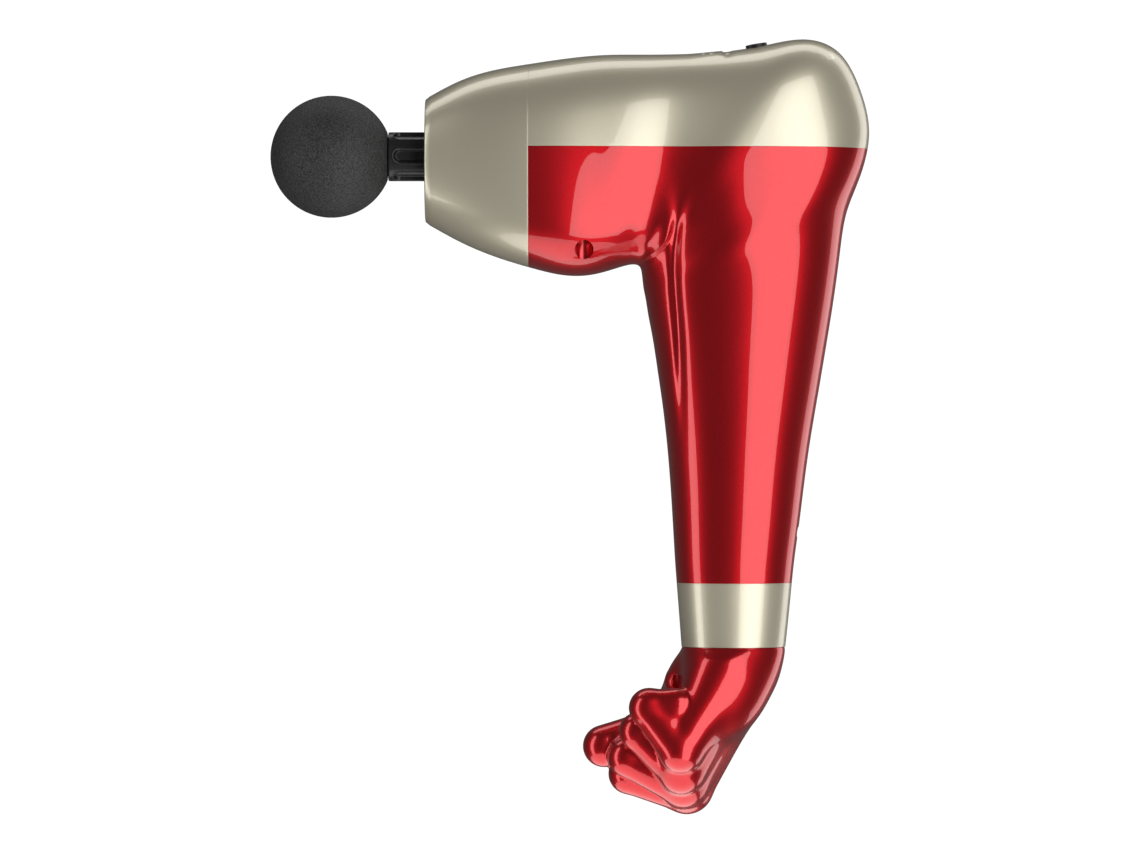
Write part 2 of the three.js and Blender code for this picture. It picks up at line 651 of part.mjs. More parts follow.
function motor() {
  const tubeBottom = MOTOR_BOTTOM_Z + 3;
  const base = join(
    rod("z", MOTOR_TOP_Z - 3.2, MOTOR_TOP_Z, 19.6, MOTOR_AT, { sides: 36 }),
    rod("z", tubeBottom, MOTOR_TOP_Z, 6, MOTOR_AT),
  );
  const threads = MOTOR_SCREW_ANGLES.map((angle) => {
    return rod("z", -20, 0, THREAD_RADIUS, onCircle(MOTOR_SCREW_CIRCLE, angle), { sides: 12 });
  });
  const bearingBore = rod("z", -60, 0, BEARING.outer + GAP, MOTOR_AT);
  add("motor_base", cut(base, bearingBore, ...threads), ALUMINIUM);

  const windings = tube("z", -38.5, -22, 15.8, 6.3, MOTOR_AT, 36);
  const slots = [];
  for (let k = 0; k < 9; k++) {
    const slot = box({ x: [10.5, 17], y: [-0.7, 0.7] });
    slots.push(slot.rotate([0, 0, 40 * k]).translate([CRANK_X, 0, 0]));
  }
  add("motor_windings", cut(windings, ...slots), COPPER);

  const can = cut(
    rod("z", MOTOR_BOTTOM_Z, -21, 19.4, MOTOR_AT, { sides: 36 }),
    rod("z", MOTOR_BOTTOM_Z + 2, 0, 17.2, MOTOR_AT, { sides: 36 }),
    rod("z", -60, 0, SHAFT_RADIUS + GAP, MOTOR_AT),
    ...[0, 60, 120, 180, 240, 300].map((angle) =>
      rod("z", -60, -40, 2.6, onCircle(10.5, angle), { sides: 14 }),
    ),
  );
  add("rotor_can", can, STEEL);
  const shaft = rod("z", MOTOR_BOTTOM_Z - 1.2, DISC.top + 0.4, SHAFT_RADIUS, MOTOR_AT, { sides: 16 });
  add("motor_shaft", shaft, STEEL);
  const seats = { upper_bearing: MOTOR_TOP_Z - BEARING.height - 0.5, lower_bearing: tubeBottom + 0.5 };
  for (const [name, z] of Object.entries(seats)) {
    add(name, tube("z", z, z + BEARING.height, BEARING.outer, BEARING.bore, MOTOR_AT), STEEL);
  }
  MOTOR_SCREW_ANGLES.forEach((angle, k) => {
    const { x, y } = onCircle(MOTOR_SCREW_CIRCLE, angle);
    const size = { length: 5, headRadius: 2.2, headHeight: 1.5, shankRadius: 1.25 };
    screw(`motor_screw_${k + 1}`, [x, y, PLATE.top + GAP + 1.5], DOWNWARDS, size);
  });
}

// The crank: a disc whose heavy side lies opposite the pin.
function crank() {
  const disc = rod("z", DISC.bottom, DISC.top, DISC.radius, MOTOR_AT, { sides: 36 });
  const weight = cut(
    tube("z", DISC.top - 0.5, DISC.top + 1, DISC.radius, 7, MOTOR_AT, 36),
    box({ y: [-2.5, FAR] }),
  );
  const pinAt = { x: CRANK_X, y: CRANK_RADIUS };
  const lightening = [35, 145].map((angle) => rod("z", -20, 0, 3, onCircle(10, angle), { sides: 16 }));
  const bores = [
    rod("z", -20, 0, SHAFT_RADIUS + GAP, MOTOR_AT, { sides: 16 }),
    rod("z", DISC.bottom + 1, 0, PIN_RADIUS + GAP / 2, pinAt, { sides: 16 }),
  ];
  add("crank_disc", cut(join(disc, weight), ...bores, ...lightening), STEEL);
  const pin = join(
    rod("z", DISC.bottom + 1 + GAP, YOKE_HALF_Z, PIN_RADIUS - GAP / 2, pinAt, { sides: 16 }),
    rod("z", YOKE_HALF_Z - 0.2, YOKE_HALF_Z + 0.7, 3.5, pinAt, { sides: 20 }),
  );
  add("crank_pin", pin, STEEL);
  const [bottom, top] = [0.6 - YOKE_HALF_Z, YOKE_HALF_Z - 0.5];
  const roller = tube("z", bottom, top, ROLLER_RADIUS, PIN_RADIUS + GAP / 2, pinAt, 28);
  add("crank_roller", roller, BRONZE);
}

function driveParts() {
  add("drive_frame", driveFrame(), ALUMINIUM);
  const sleeve = tube("x", GUIDE.from + 1, GUIDE.to - 1, GUIDE.bore - GAP, ROD_RADIUS + GAP, {}, 32);
  add("guide_sleeve", sleeve, BRONZE);
  for (const [name, [x, side]] of Object.entries(ISOLATORS)) {
    const [from, to] = side < 0 ? [-22.3, -16.3] : [16.3, 22.3];
    const ring = tube("y", from, to, 5.8 - GAP, POST_RADIUS + GAP, { x, z: ISOLATOR_Z });
    add(`isolator_${name}`, ring, RUBBER);
  }
}

// ---------------------------------------------------------------- battery and electronics
const UPPER_HOLDER = { z: [-62, -56.4] };
const LOWER_HOLDER = { z: [-126, -117] };
const CELL_SIDES = 20;
const cellPlaces = [];
for (const dx of [-0.5, 0.5]) {
  for (const dy of [-0.5, 0.5]) cellPlaces.push({ x: BATTERY_X + dx * CELL_PITCH, y: dy * CELL_PITCH });
}

function cell(at) {
  const bottom = BATTERY_TOP_Z - CELL_LENGTH;
  return join(
    rod("z", bottom, BATTERY_TOP_Z - 1, CELL_RADIUS, at, { sides: CELL_SIDES }),
    rod("z", bottom + 10, BATTERY_TOP_Z, 3, at, { sides: 14 }),
  );
}

function holder({ z }, floor) {
  const block = box({ x: [BATTERY_X - 20.6, BATTERY_X + 20.6], y: [-20.6, 20.6], z });
  const pocket = (at) => rod("z", z[0] + floor, z[1] + 1, CELL_RADIUS + GAP, at, { sides: CELL_SIDES });
  const pockets = cellPlaces.map(pocket);
  const contacts = cellPlaces.map((at) => rod("z", z[0] - 1, z[1] + 1, 5, at, { sides: 16 }));
  const leadHole = rod("z", z[0] - 1, z[1] + 1, 3.4, { x: BATTERY_X }, { sides: 16 });
  return cut(block.intersect(insideArm(WALL + 0.8)), ...pockets, ...contacts, leadHole);
}

function batteryPack() {
  cellPlaces.forEach((at, k) => add(`battery_cell_${k + 1}`, cell(at), CELL_WRAP));
  add("upper_cell_holder", holder(UPPER_HOLDER, -1), GREY_PLASTIC);
  add("lower_cell_holder", holder(LOWER_HOLDER, 4), GREY_PLASTIC);
  const strip = (z) => ({ z: [z, z + 0.4] });
  const half = CELL_PITCH / 2;
  for (const [name, side] of [["left", -1], ["right", 1]]) {
    const y = [side * half - 3, side * half + 3];
    const body = box({ x: [BATTERY_X - half - 4, BATTERY_X + half + 4], y, ...strip(BATTERY_TOP_Z + GAP) });
    add(`nickel_strip_top_${name}`, body, STEEL);
  }
  const lowX = [BATTERY_X + half - 3, BATTERY_X + half + 3];
  const low = box({ x: lowX, y: [-half - 4, half + 4], ...strip(LOWER_HOLDER.z[0] - GAP - 0.4) });
  add("nickel_strip_bottom", low, STEEL);
}

// A circuit board with its larger components standing on it.
function board(limits, components) {
  return join(box(limits), ...components.map(box));
}

function electronics() {
  const top = BOARD_Z + 1.6;
  const control = board({ x: [96, 150], y: [-14, 14], z: [BOARD_Z, top] }, [
    { x: [104, 111], y: [-12, -5], z: [top - 0.5, top + 1.2] },
    { x: [124, 128], y: [-12, -7], z: [top - 0.5, top + 2.4] },
    { x: [126, 130], y: [5, 11], z: [top - 0.5, top + 1.6] },
    { x: [98, 103], y: [5, 12], z: [BOARD_Z - 2, BOARD_Z + 0.5] },
    { x: [145.2, 149.8], y: [-6, 6], z: [BOARD_Z - 2, BOARD_Z + 0.5] },
  ]);
  const screwHoles = BOARD_SCREWS_X.map((x) => rod("z", 20, 40, THREAD_RADIUS, { x }, { sides: 12 }));
  add("control_board", cut(control, ...screwHoles), BOARD);
  BOARD_SCREWS_X.forEach((x, k) => {
    const size = { length: 7, headRadius: 2.2, headHeight: 1.5, shankRadius: 1.25 };
    screw(`board_screw_${k + 1}`, [x, 0, BOARD_Z - GAP - 1.5], UPWARDS, size);
  });
  const switchX = BUTTON.x + 1.1;
  const tact = join(
    box({ x: [switchX - 3, switchX + 3], y: [-3, 3], z: [top + GAP, top + 3.6] }),
    rod("z", top + 3, top + 4.6, 1.7, { x: switchX }, { sides: 16 }),
  );
  add("tact_switch", tact, BLACK_PLASTIC);

  const guardTop = LOWER_HOLDER.z[0] - 3.2;
  const plate = { x: [BATTERY_X - 17, BATTERY_X + 16], y: [-14.5, 14.5], z: [guardTop - 1.6, guardTop] };
  const guard = board(plate, [
    { x: [112, 118], y: [-10, -4], z: [guardTop - 3, guardTop - 1] },
    { x: [112, 118], y: [2, 8], z: [guardTop - 3, guardTop - 1] },
    { x: [128, 136], y: [-4, 4], z: [guardTop - 3.4, guardTop - 1] },
  ]);
  add("battery_board", guard, BOARD);
  const boardTop = CHARGER_Z - 2;
  add("charger_board", box({ x: [126, 143.5], y: [-8, 8], z: [boardTop - 1.4, boardTop] }), BOARD);
  const charger = join(
    cut(
      box({ x: [138, 147.6], y: [-4.5, 4.5], z: [CHARGER_Z - 1.7, CHARGER_Z + 1.7] }),
      box({ x: [139.4, 160], y: [-4.1, 4.1], z: [CHARGER_Z - 1.3, CHARGER_Z + 1.3] }),
    ),
    box({ x: [139, 146], y: [-3.2, 3.2], z: [CHARGER_Z - 0.35, CHARGER_Z + 0.35] }),
  );
  add("charging_socket", charger, STEEL);
}

function leads() {
  const batteryLead = (side, y) => [
    [BATTERY_X, 1.5 * side, -128.6],
    [BATTERY_X, 1.5 * side, -96],
    [BATTERY_X, 1.5 * side, -64],
    [124, 1.5 * side, -55],
    [113, y + 8, -50.5],
    [101, y + 1, -38],
    [97.8, y, -14],
    [97.8, y, 12],
    [97.8, y, BOARD_Z - GAP],
  ];
  lead("battery_lead_red", batteryLead(-1, -16), 1, WIRE_RED);
  lead("battery_lead_black", batteryLead(1, -12.4), 1, WIRE_BLACK);
  for (const [name, y] of [["a", -4], ["b", 0], ["c", 4]]) {
    const places = [
      [CRANK_X + 19.6 + GAP, y, -18],
      [151.5, y, -16.5],
      [153, y, -10],
      [153, y, 12],
      [150, y, 21],
      [147.6, y * 0.8, BOARD_Z - 3],
    ];
    lead(`motor_lead_${name}`, places, 0.9, WIRE_BLACK);
  }
}

// ---------------------------------------------------------------- assembly
bodyShells();
add("top_cover", topCover(), GOLD);
add("nose_cap", noseCap(), GOLD);
add("nose_seal", noseSeal(), RUBBER);
add("wrist_band", wristBand(), GOLD);
handShells();
add("light_guide", lightGuide(), LED_WINDOW);
add("power_button", powerButton(), BLACK_PLASTIC);
add("massage_ball", massageBall(), BLACK_FOAM);
add("plunger_socket", plungerSocket(), BLACK_PLASTIC);
add("plunger_rod", plungerRod(), STEEL);
driveParts();
motor();
crank();
batteryPack();
electronics();
leads();

// Moves the whole gun so that the origin is the centre of its bounding box.
const limits = new THREE.Box3().setFromObject(gun);
const middle = limits.getCenter(new THREE.Vector3());
gun.position.set(-middle.x, 0, -middle.z);
const assembly = new THREE.Group();
assembly.add(gun);
export default assembly;
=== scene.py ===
"""Looks of the arm-shaped massage gun: lacquered casings, foam head, fluted socket and the works inside.

Shapes are drawn in millimetres in the maker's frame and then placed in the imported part's frame:
X = 0 is the flat front of the nose, +X runs to the elbow, Z = 0 is the plunger's axis, and Y = 0
is the plane where the left (-Y) and right (+Y) casings meet.
"""

import math

import bmesh
import bpy
import numpy as np
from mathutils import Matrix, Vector


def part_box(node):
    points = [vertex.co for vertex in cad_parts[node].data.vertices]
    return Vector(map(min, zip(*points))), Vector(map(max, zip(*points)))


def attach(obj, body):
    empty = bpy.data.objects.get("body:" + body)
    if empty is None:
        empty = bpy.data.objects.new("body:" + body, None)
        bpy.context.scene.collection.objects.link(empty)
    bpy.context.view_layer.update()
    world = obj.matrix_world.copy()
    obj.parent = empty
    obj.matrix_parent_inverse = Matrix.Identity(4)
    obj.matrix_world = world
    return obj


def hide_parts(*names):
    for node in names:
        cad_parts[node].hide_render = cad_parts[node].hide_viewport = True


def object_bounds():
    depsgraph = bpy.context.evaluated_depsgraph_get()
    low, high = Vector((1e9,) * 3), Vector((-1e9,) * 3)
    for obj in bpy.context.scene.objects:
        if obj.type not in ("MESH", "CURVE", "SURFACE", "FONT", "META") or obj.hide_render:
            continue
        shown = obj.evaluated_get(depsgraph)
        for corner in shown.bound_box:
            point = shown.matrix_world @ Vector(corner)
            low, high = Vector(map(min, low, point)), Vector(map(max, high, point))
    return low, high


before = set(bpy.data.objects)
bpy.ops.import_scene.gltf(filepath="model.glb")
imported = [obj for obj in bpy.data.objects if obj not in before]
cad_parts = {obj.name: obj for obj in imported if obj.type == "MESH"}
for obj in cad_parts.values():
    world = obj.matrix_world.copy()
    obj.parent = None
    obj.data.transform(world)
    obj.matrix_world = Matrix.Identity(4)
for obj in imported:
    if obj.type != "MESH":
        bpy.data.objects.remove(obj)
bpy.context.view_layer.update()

MM = 0.001
# In metres: points nearer than this are one, and points this near a cut lie on it.
WELD = 1e-7
CUT_TOLERANCE = 1e-6
SOCKET_LOW, SOCKET_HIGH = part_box("plunger_socket")
# Where the maker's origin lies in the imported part's frame, in metres.
PLACE = np.array([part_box("nose_cap")[0].x, 0.0, (SOCKET_LOW.z + SOCKET_HIGH.z) / 2])

# ---------------------------------------------------------------- sizes, in millimetres
BODY_WALL = 2.3
NOSE_WALL = 1.8
BAND_WALL = 1.6
HAND_WALL = 2.0
CUP_WALL = 1.6
# How far an edge is rounded where two casings meet.
EDGE_ROUND = 0.1
NOSE_EDGE_ROUND = 0.7
NOSE_SEAM_X = 41.2
TOP_SEAM_Z = 2.9
BAND_TOP_Z = -170.3
BAND_BOTTOM_Z = -195.8
# The gap between the band and the hand, and where the hand's halves meet.
HAND_GAP = 0.15
HAND_SPLIT_Y = 4.0
NOSE_HOLE_RADIUS = 17.0
NOSE_HOLE_DEPTH = 3.0
BALL_RADIUS = 24.4
BALL_X = -37.6
SOCKET_FRONT_X = -14.8
SOCKET_RADIUS = 9.8
SOCKET_BACK_X = 28.0
# How far beneath the skin the recess cups and the plugs have to stay.
CORE_INSET = 0.15
# Screw recesses: the place in side view (x, z), the seat and the mouth in Y, and the radius.
BARREL_RECESS = {"place": (63.4, -37.7), "seat": -13.0, "mouth": -30.0, "radius": 3.7}
PALM_RECESS = {"place": (100.8, -210.0), "seat": 0.4, "mouth": -9.0, "radius": 3.1}
# The plugs in them: the front and the back in Y, the radius, and the depth of the groove.
BARREL_PLUG = {"face": -18.2, "back": -13.1, "radius": 3.6, "dip": 1.6}
PALM_PLUG = {"face": -2.9, "back": 0.3, "radius": 3.05, "dip": 0.6}
PLUG_GROOVE_RADIUS = 3.6
# The charging socket's opening: from x to x, half its width, its middle height, half its height.
CHARGER_SLOT = {"x_range": (144, 160), "half_y": 5.0, "z_middle": -150.0, "half_z": 2.1}
# The power key: its place on the cover, the cover's tilt there in radians, its radius and its play.
BUTTON = {"x": 132.4, "z": 43.95, "tilt": 0.167, "radius": 4.3, "play": 0.25}
# Each lamp's place along the cover, and its distance from the middle plane.
LAMPS = [(111.0, 6.2), (114.2, 7.2), (120.6, 7.6)]
LAMP_HOLE_RADIUS = 1.0
LAMP_PIP_RADIUS = 0.95
# How far a lamp's rim lies beneath the cover.
LAMP_SINK = 0.25
# How far the tools for the key's hole and the lamps' holes reach.
KEY_HOLE_REACH = 9
LAMP_HOLE_Z = (30, 60)

# The arm's ribs from the nose round the elbow to the wrist: inner end (x, z), outer end (x, z) and
# half the thickness.
RIBS = np.array(
    [
        (0.0, -26.5, 0.0, 23.1, 24.8),
        (13.8, -34.1, 13.8, 30.3, 29.0),
        (27.5, -39.9, 27.5, 34.6, 32.2),
        (41.2, -44.2, 41.2, 37.0, 33.8),
        (54.5, -47.3, 55.5, 39.1, 33.9),
        (66.0, -47.3, 71.0, 40.6, 32.7),
        (75.5, -44.9, 86.5, 40.8, 31.2),
        (81.8, -43.2, 102.0, 41.0, 29.1),
        (85.2, -43.6, 118.0, 41.9, 28.8),
        (86.3, -45.6, 135.0, 44.4, 29.7),
        (86.6, -47.6, 151.5, 46.9, 30.8),
        (86.8, -49.4, 166.0, 41.0, 30.9),
        (87.0, -51.2, 174.6, 24.7, 30.7),
        (87.3, -53.2, 177.4, 8.0, 30.5),
        (87.8, -55.6, 173.6, -8.6, 30.2),
        (88.4, -59.0, 168.4, -22.5, 29.4),
        (89.3, -64.5, 165.8, -38.0, 28.8),
        (91.0, -73.5, 163.4, -56.0, 28.2),
        (92.9, -86.0, 160.2, -76.0, 27.2),
        (94.9, -100.0, 157.0, -95.0, 26.0),
        (96.7, -116.0, 153.8, -114.0, 24.8),
        (98.0, -132.0, 151.3, -132.0, 23.6),
        (99.0, -148.0, 149.3, -148.0, 22.4),
        (99.9, -163.0, 147.3, -163.0, 21.4),
        (101.2, -180.0, 145.6, -180.0, 20.6),
        (102.4, -196.1, 143.9, -196.1, 20.0),
    ]
)
# How far the sections fill out towards a rectangle's corners.
SQUARENESS = 0.05
# How many rings the ribs are drawn out to, and the points in each ring.
RIB_ROWS = 400
AROUND = 208
# Casing edges sharper than this many degrees stay crisp.
CASING_SMOOTH = 48


# ---------------------------------------------------------------- mesh helpers
def smoothstep(value, low, high):
    """0 below low, 1 above high, and a smooth rise between them."""
    share = np.clip((value - low) / (high - low), 0, 1)
    return share * share * (3 - 2 * share)


def bell(value, centre, width):
    """A smooth bump that is 1 at its centre."""
    return np.exp(-(((value - centre) / width) ** 2))


def spline(values, at):
    """A natural cubic spline through rows of values, one row at each whole number."""
    count = len(values)
    system = np.zeros((count, count))
    system[0, 0] = system[-1, -1] = 1
    right = np.zeros_like(values)
    for k in range(1, count - 1):
        system[k, k - 1 : k + 2] = (1, 4, 1)
        right[k] = 6 * (values[k + 1] - 2 * values[k] + values[k - 1])
    bend = np.linalg.solve(system, right)
    k = np.clip(np.floor(at).astype(int), 0, count - 2)
    t = (at - k)[:, None]
    a, b = values[k], values[k + 1]
    curve = (bend[k] * (1 - t) ** 3 + bend[k + 1] * t**3) / 6
    return curve + (a - bend[k] / 6) * (1 - t) + (b - bend[k + 1] / 6) * t


def grid_faces(rows, columns):
    """Quads over rows of points, each row closed into a ring, as vertex numbers."""
    r = np.arange(rows - 1)[:, None]
    c = np.arange(columns)[None, :]
    following = (c + 1) % columns
    here, above = r * columns, (r + 1) * columns
    return np.stack([here + c, above + c, above + following, here + following], -1).reshape(-1, 4)


def placed_in_scene(name, data):
    """A new object in the scene for a mesh, a light or a camera."""
    made = bpy.data.objects.new(name, data)
    bpy.context.scene.collection.objects.link(made)
    return made


def object_from(name, points, faces):
    """An object from points in the frame's metres and faces as vertex numbers."""
    mesh = bpy.data.meshes.new(name)
    mesh.from_pydata(points, [], faces)
    mesh.update()
    return placed_in_scene(name, mesh)


def mesh_from(name, points, faces):
    """An object whose points are given in the maker's millimetres."""
    placed = np.asarray(points) * MM + PLACE
    return object_from(name, placed.tolist(), faces.tolist())


def mesh_from_bmesh(name, bm):
    """An object from a bmesh, which is freed."""
    mesh = bpy.data.meshes.new(name)
    bm.to_mesh(mesh)
    bm.free()
    return placed_in_scene(name, mesh)


def skin_from(points, faces):
    """A bmesh of a surface, from points in the maker's millimetres, with its faces outwards."""
    bm = bmesh.new()
    verts = [bm.verts.new(p * MM + PLACE) for p in points]
    for face in faces.tolist():
        bm.faces.new([verts[i] for i in face])
    bmesh.ops.recalc_face_normals(bm, faces=bm.faces)
    return bm


def to_frame(x, y, z):
    """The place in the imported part's frame of a point in the maker's millimetres."""
    return Vector((x * MM + PLACE[0], y * MM + PLACE[1], z * MM + PLACE[2]))


def closed(made, merge_poles=False):
    """Closes a mesh's open ends and turns its faces outwards."""
    bm = bmesh.new()
    bm.from_mesh(made.data)
    if merge_poles:
        bmesh.ops.remove_doubles(bm, verts=bm.verts, dist=WELD)
    bmesh.ops.holes_fill(bm, edges=bm.edges)
    bmesh.ops.recalc_face_normals(bm, faces=bm.faces)
    bm.to_mesh(made.data)
    bm.free()
    return made


def smooth(made, angle=40):
    """Smooth shading, with edges sharper than the angle kept crisp."""
    made.data.shade_smooth()
    made.data.set_sharp_from_angle(angle=math.radians(angle))


def full_turn(count):
    """Evenly spaced angles round a circle."""
    return np.linspace(0, 2 * math.pi, count, endpoint=False)


def ring(axis, along, radius, sides):
    """A ring of points round an axis; the radius is one number, or one for each point."""
    angles = full_turn(sides)
    flat = np.stack([radius * np.cos(angles), radius * np.sin(angles)], 1)
    return np.insert(flat, "xyz".index(axis), along, axis=1)


def revolve(name, profile, axis="x", centre=(0, 0, 0), sides=96):
    """A closed solid of revolution from (place on the axis, radius) pairs that start and end on it."""
    rows = [ring(axis, along, radius, sides) + np.array(centre) for along, radius in profile]
    made = mesh_from(name, np.concatenate(rows), grid_faces(len(profile), sides))
    return closed(made, merge_poles=True)


def rounded(points, radius, steps=4):
    """Rounds every corner of an outline of (along, radius) pairs but its two ends."""
    done = [points[0]]
    for before, corner, after in zip(points, points[1:], points[2:]):
        a, b, c = (np.array(p, float) for p in (before, corner, after))
        reach = min(radius, np.linalg.norm(a - b) / 2.2, np.linalg.norm(c - b) / 2.2)
        start = b + (a - b) / np.linalg.norm(a - b) * reach
        end = b + (c - b) / np.linalg.norm(c - b) * reach
        for k in range(steps + 1):
            t = k / steps
            done.append(tuple((1 - t) ** 2 * start + 2 * t * (1 - t) * b + t**2 * end))
    done.append(points[-1])
    return done


def keep_result(made):
    """Turns what an object's modifiers make into its plain mesh."""
    graph = bpy.context.evaluated_depsgraph_get()
    result = bpy.data.meshes.new_from_object(made.evaluated_get(graph))
    made.modifiers.clear()
    made.data = result


def boolean(made, tool, operation="DIFFERENCE"):
    """Cuts a closed piece with a closed tool, joins the two, or keeps what they share."""
    modifier = made.modifiers.new("cut", "BOOLEAN")
    modifier.operation = operation
    modifier.object = tool
    modifier.solver = "MANIFOLD"
    keep_result(made)
    bpy.data.objects.remove(tool)
    return made


# ---------------------------------------------------------------- the arm's skin
# In side view (x, z): the long fold from the elbow's hollow down the forearm, and the lip where the
# upper arm's flesh rolls over the forearm.
FOLD_PATH = [
    (109, -3), (104.5, -12), (101.3, -22), (99.8, -33), (99.2, -43),
    (99.8, -57), (101, -73), (102, -97), (103, -125),
]
LIP_PATH = [(79.0, -46.8), (84.5, -43.6), (90.5, -40.2), (95.0, -36.6), (97.6, -31), (98.6, -24)]
# The fold's depth and width, and how much wider it is where it starts.
FOLD_DEPTH = 1.7
FOLD_WIDTH = 1.9
FOLD_SPREAD = 6.5
# The lip's step down: its depth, half the width of the step, and how far below it fades out.
LIP_STEP = 2.0
LIP_SOFTNESS = 0.9
LIP_FADE = 9.0
# The roll of flesh above the step: its height, its width, and how far above it lies.
LIP_ROLL = 0.6
LIP_ROLL_WIDTH = 2.6
LIP_ROLL_ABOVE = 3.2
ELBOW_SWELL = {"height": 1.3, "x": 119, "z": -20, "half_x": 12, "half_z": 20}
LAMP_PATCH_RISE = 0.35
LAMP_NOTCH_DEPTH = 0.25


def distance_to_path(x, z, path):
    """Distance to a broken line, the share of the way along it, and the side (1 is its left)."""
    best = np.full(x.shape, 1e9)
    share = np.zeros(x.shape)
    side = np.zeros(x.shape)
    count = len(path) - 1
    for k in range(count):
        (x0, z0), (x1, z1) = path[k], path[k + 1]
        dx, dz = x1 - x0, z1 - z0
        t = np.clip(((x - x0) * dx + (z - z0) * dz) / (dx * dx + dz * dz), 0, 1)
        gap = np.hypot(x - x0 - t * dx, z - z0 - t * dz)
        cross = dx * (z - z0) - dz * (x - x0)
        nearer = gap < best
        best = np.where(nearer, gap, best)
        share = np.where(nearer, (k + t) / count, share)
        side = np.where(nearer, np.sign(cross), side)
    return best, share, side


def dense(path, count=60):
    """The same path with many short, smoothly turning stretches."""
    points = spline(np.array(path, float), np.linspace(0, len(path) - 1, count))
    return [tuple(p) for p in points]


FOLD_LINE = dense(FOLD_PATH)
LIP_LINE = dense(LIP_PATH, 30)


def pressed_in(x, z):
    """How far the arm's flank is pressed in, in millimetres, at a place in side view."""
    gap, share, _ = distance_to_path(x, z, FOLD_LINE)
    start = smoothstep(share, 0.0, 0.36)
    end = 1 - smoothstep(share, 0.72, 1.0)
    fold = FOLD_DEPTH * start * bell(gap, 0, FOLD_WIDTH + FOLD_SPREAD * (1 - start)) * end
    u = (x - ELBOW_SWELL["x"]) / ELBOW_SWELL["half_x"]
    v = (z - ELBOW_SWELL["z"]) / ELBOW_SWELL["half_z"]
    elbow = ELBOW_SWELL["height"] * np.exp(-(u**2) - v**2)

    gap, share, side = distance_to_path(x, z, LIP_LINE)
    below = -side * gap
    ends = smoothstep(share, 0.0, 0.12) * (1 - smoothstep(share, 0.8, 1.0))
    fade = np.exp(-np.maximum(below, 0) / LIP_FADE)
    step = LIP_STEP * smoothstep(below, -LIP_SOFTNESS, LIP_SOFTNESS) * fade
    roll = LIP_ROLL * bell(below, -LIP_ROLL_ABOVE, LIP_ROLL_WIDTH)
    return fold - elbow + (step - roll) * ends


def lifted(x, y, z):
    """How far the top is raised round the lamps, in millimetres."""
    patch = 1 - smoothstep(np.abs(y), 8.0, 14.0)
    drop = smoothstep(x, 118.4, 118.9)
    raised = smoothstep(x, 104, 116) * (1 - drop) * LAMP_PATCH_RISE
    notch = drop * (1 - smoothstep(x, 121.8, 122.8)) * LAMP_NOTCH_DEPTH
    return np.where(z > 30, (raised - notch) * patch, 0)


def arm_rows():
    """The arm's skin as rings of points, from the nose's front to the wrist."""
    ribs = np.linspace(0, len(RIBS) - 1, RIB_ROWS)
    data = spline(RIBS, ribs)
    angles = full_turn(AROUND)
    along = np.cos(angles) * (1 + SQUARENESS * np.sin(angles) ** 2)
    across = np.sin(angles) * (1 + SQUARENESS * np.cos(angles) ** 2)
    inner, outer, half_y = data[:, 0:2], data[:, 2:4], data[:, 4:5]
    centre, half = (inner + outer) / 2, (outer - inner) / 2
    x = centre[:, 0:1] + half[:, 0:1] * along
    z = centre[:, 1:2] + half[:, 1:2] * along
    y = half_y * across
    flank = smoothstep(np.abs(y), 0.5, 9.0)
    y = np.sign(y) * np.maximum(np.abs(y) - pressed_in(x, z) * flank, 0.02 * np.abs(y))
    z = z + lifted(x, y, z)
    return np.stack([x, y, z], -1)


def nose_rows(first):
    """Rings from inside the nose's hole, over its flat front, to the arm's first ring."""
    hole = ring("x", 0.0, NOSE_HOLE_RADIUS, AROUND)[:, [0, 2, 1]]
    middle = first.mean(0) * (0, 1, 1)
    edge = NOSE_EDGE_ROUND
    rim_share, rim_steps, hole_steps, flat_steps = 0.965, 5, 4, 9
    rows = [hole + (depth, 0, 0) for depth in (NOSE_HOLE_DEPTH, 1.6, edge)]
    for step in range(1, hole_steps + 1):
        turn = math.pi / 2 * step / hole_steps
        spread = 1 + edge * (1 - math.cos(turn)) / NOSE_HOLE_RADIUS
        rows.append(hole * (1, spread, spread) + (edge * (1 - math.sin(turn)), 0, 0))
    inner = rows[-1]
    rim = middle + (first - middle) * (1, rim_share, rim_share)
    for share in np.linspace(0, 1, flat_steps)[1:]:
        rows.append(inner * (1 - share) + rim * share)
    for step in range(1, rim_steps):
        turn = math.pi / 2 * step / rim_steps
        share = rim_share + (1 - rim_share) * math.sin(turn)
        back = edge * (1 - math.cos(turn))
        rows.append(middle + (first - middle) * (1, share, share) + (back, 0, 0))
    return rows


def arm_skin():
    """The skin of the nose, the upper arm, the forearm and the wrist, open at the hole and the wrist."""
    rows = arm_rows()
    behind_front = rows[rows[:, 0, 0] > 0.9]
    points = np.concatenate([np.array(nose_rows(rows[0])), behind_front])
    return skin_from(points.reshape(-1, 3), grid_faces(len(points), AROUND))


# ---------------------------------------------------------------- pieces with a wall
def cut_along(bm, cuts):
    """Cuts a skin at planes given as (place, direction) and keeps what lies against each direction."""
    planes = []
    for place, direction in cuts:
        normal = Vector(direction).normalized()
        point = to_frame(*place) - normal * EDGE_ROUND * MM
        parts = bm.verts[:] + bm.edges[:] + bm.faces[:]
        bmesh.ops.bisect_plane(
            bm, geom=parts, dist=CUT_TOLERANCE, plane_co=point, plane_no=normal, clear_outer=True
        )
        planes.append((point, normal))
    bm.normal_update()
    bm.verts.index_update()
    return planes


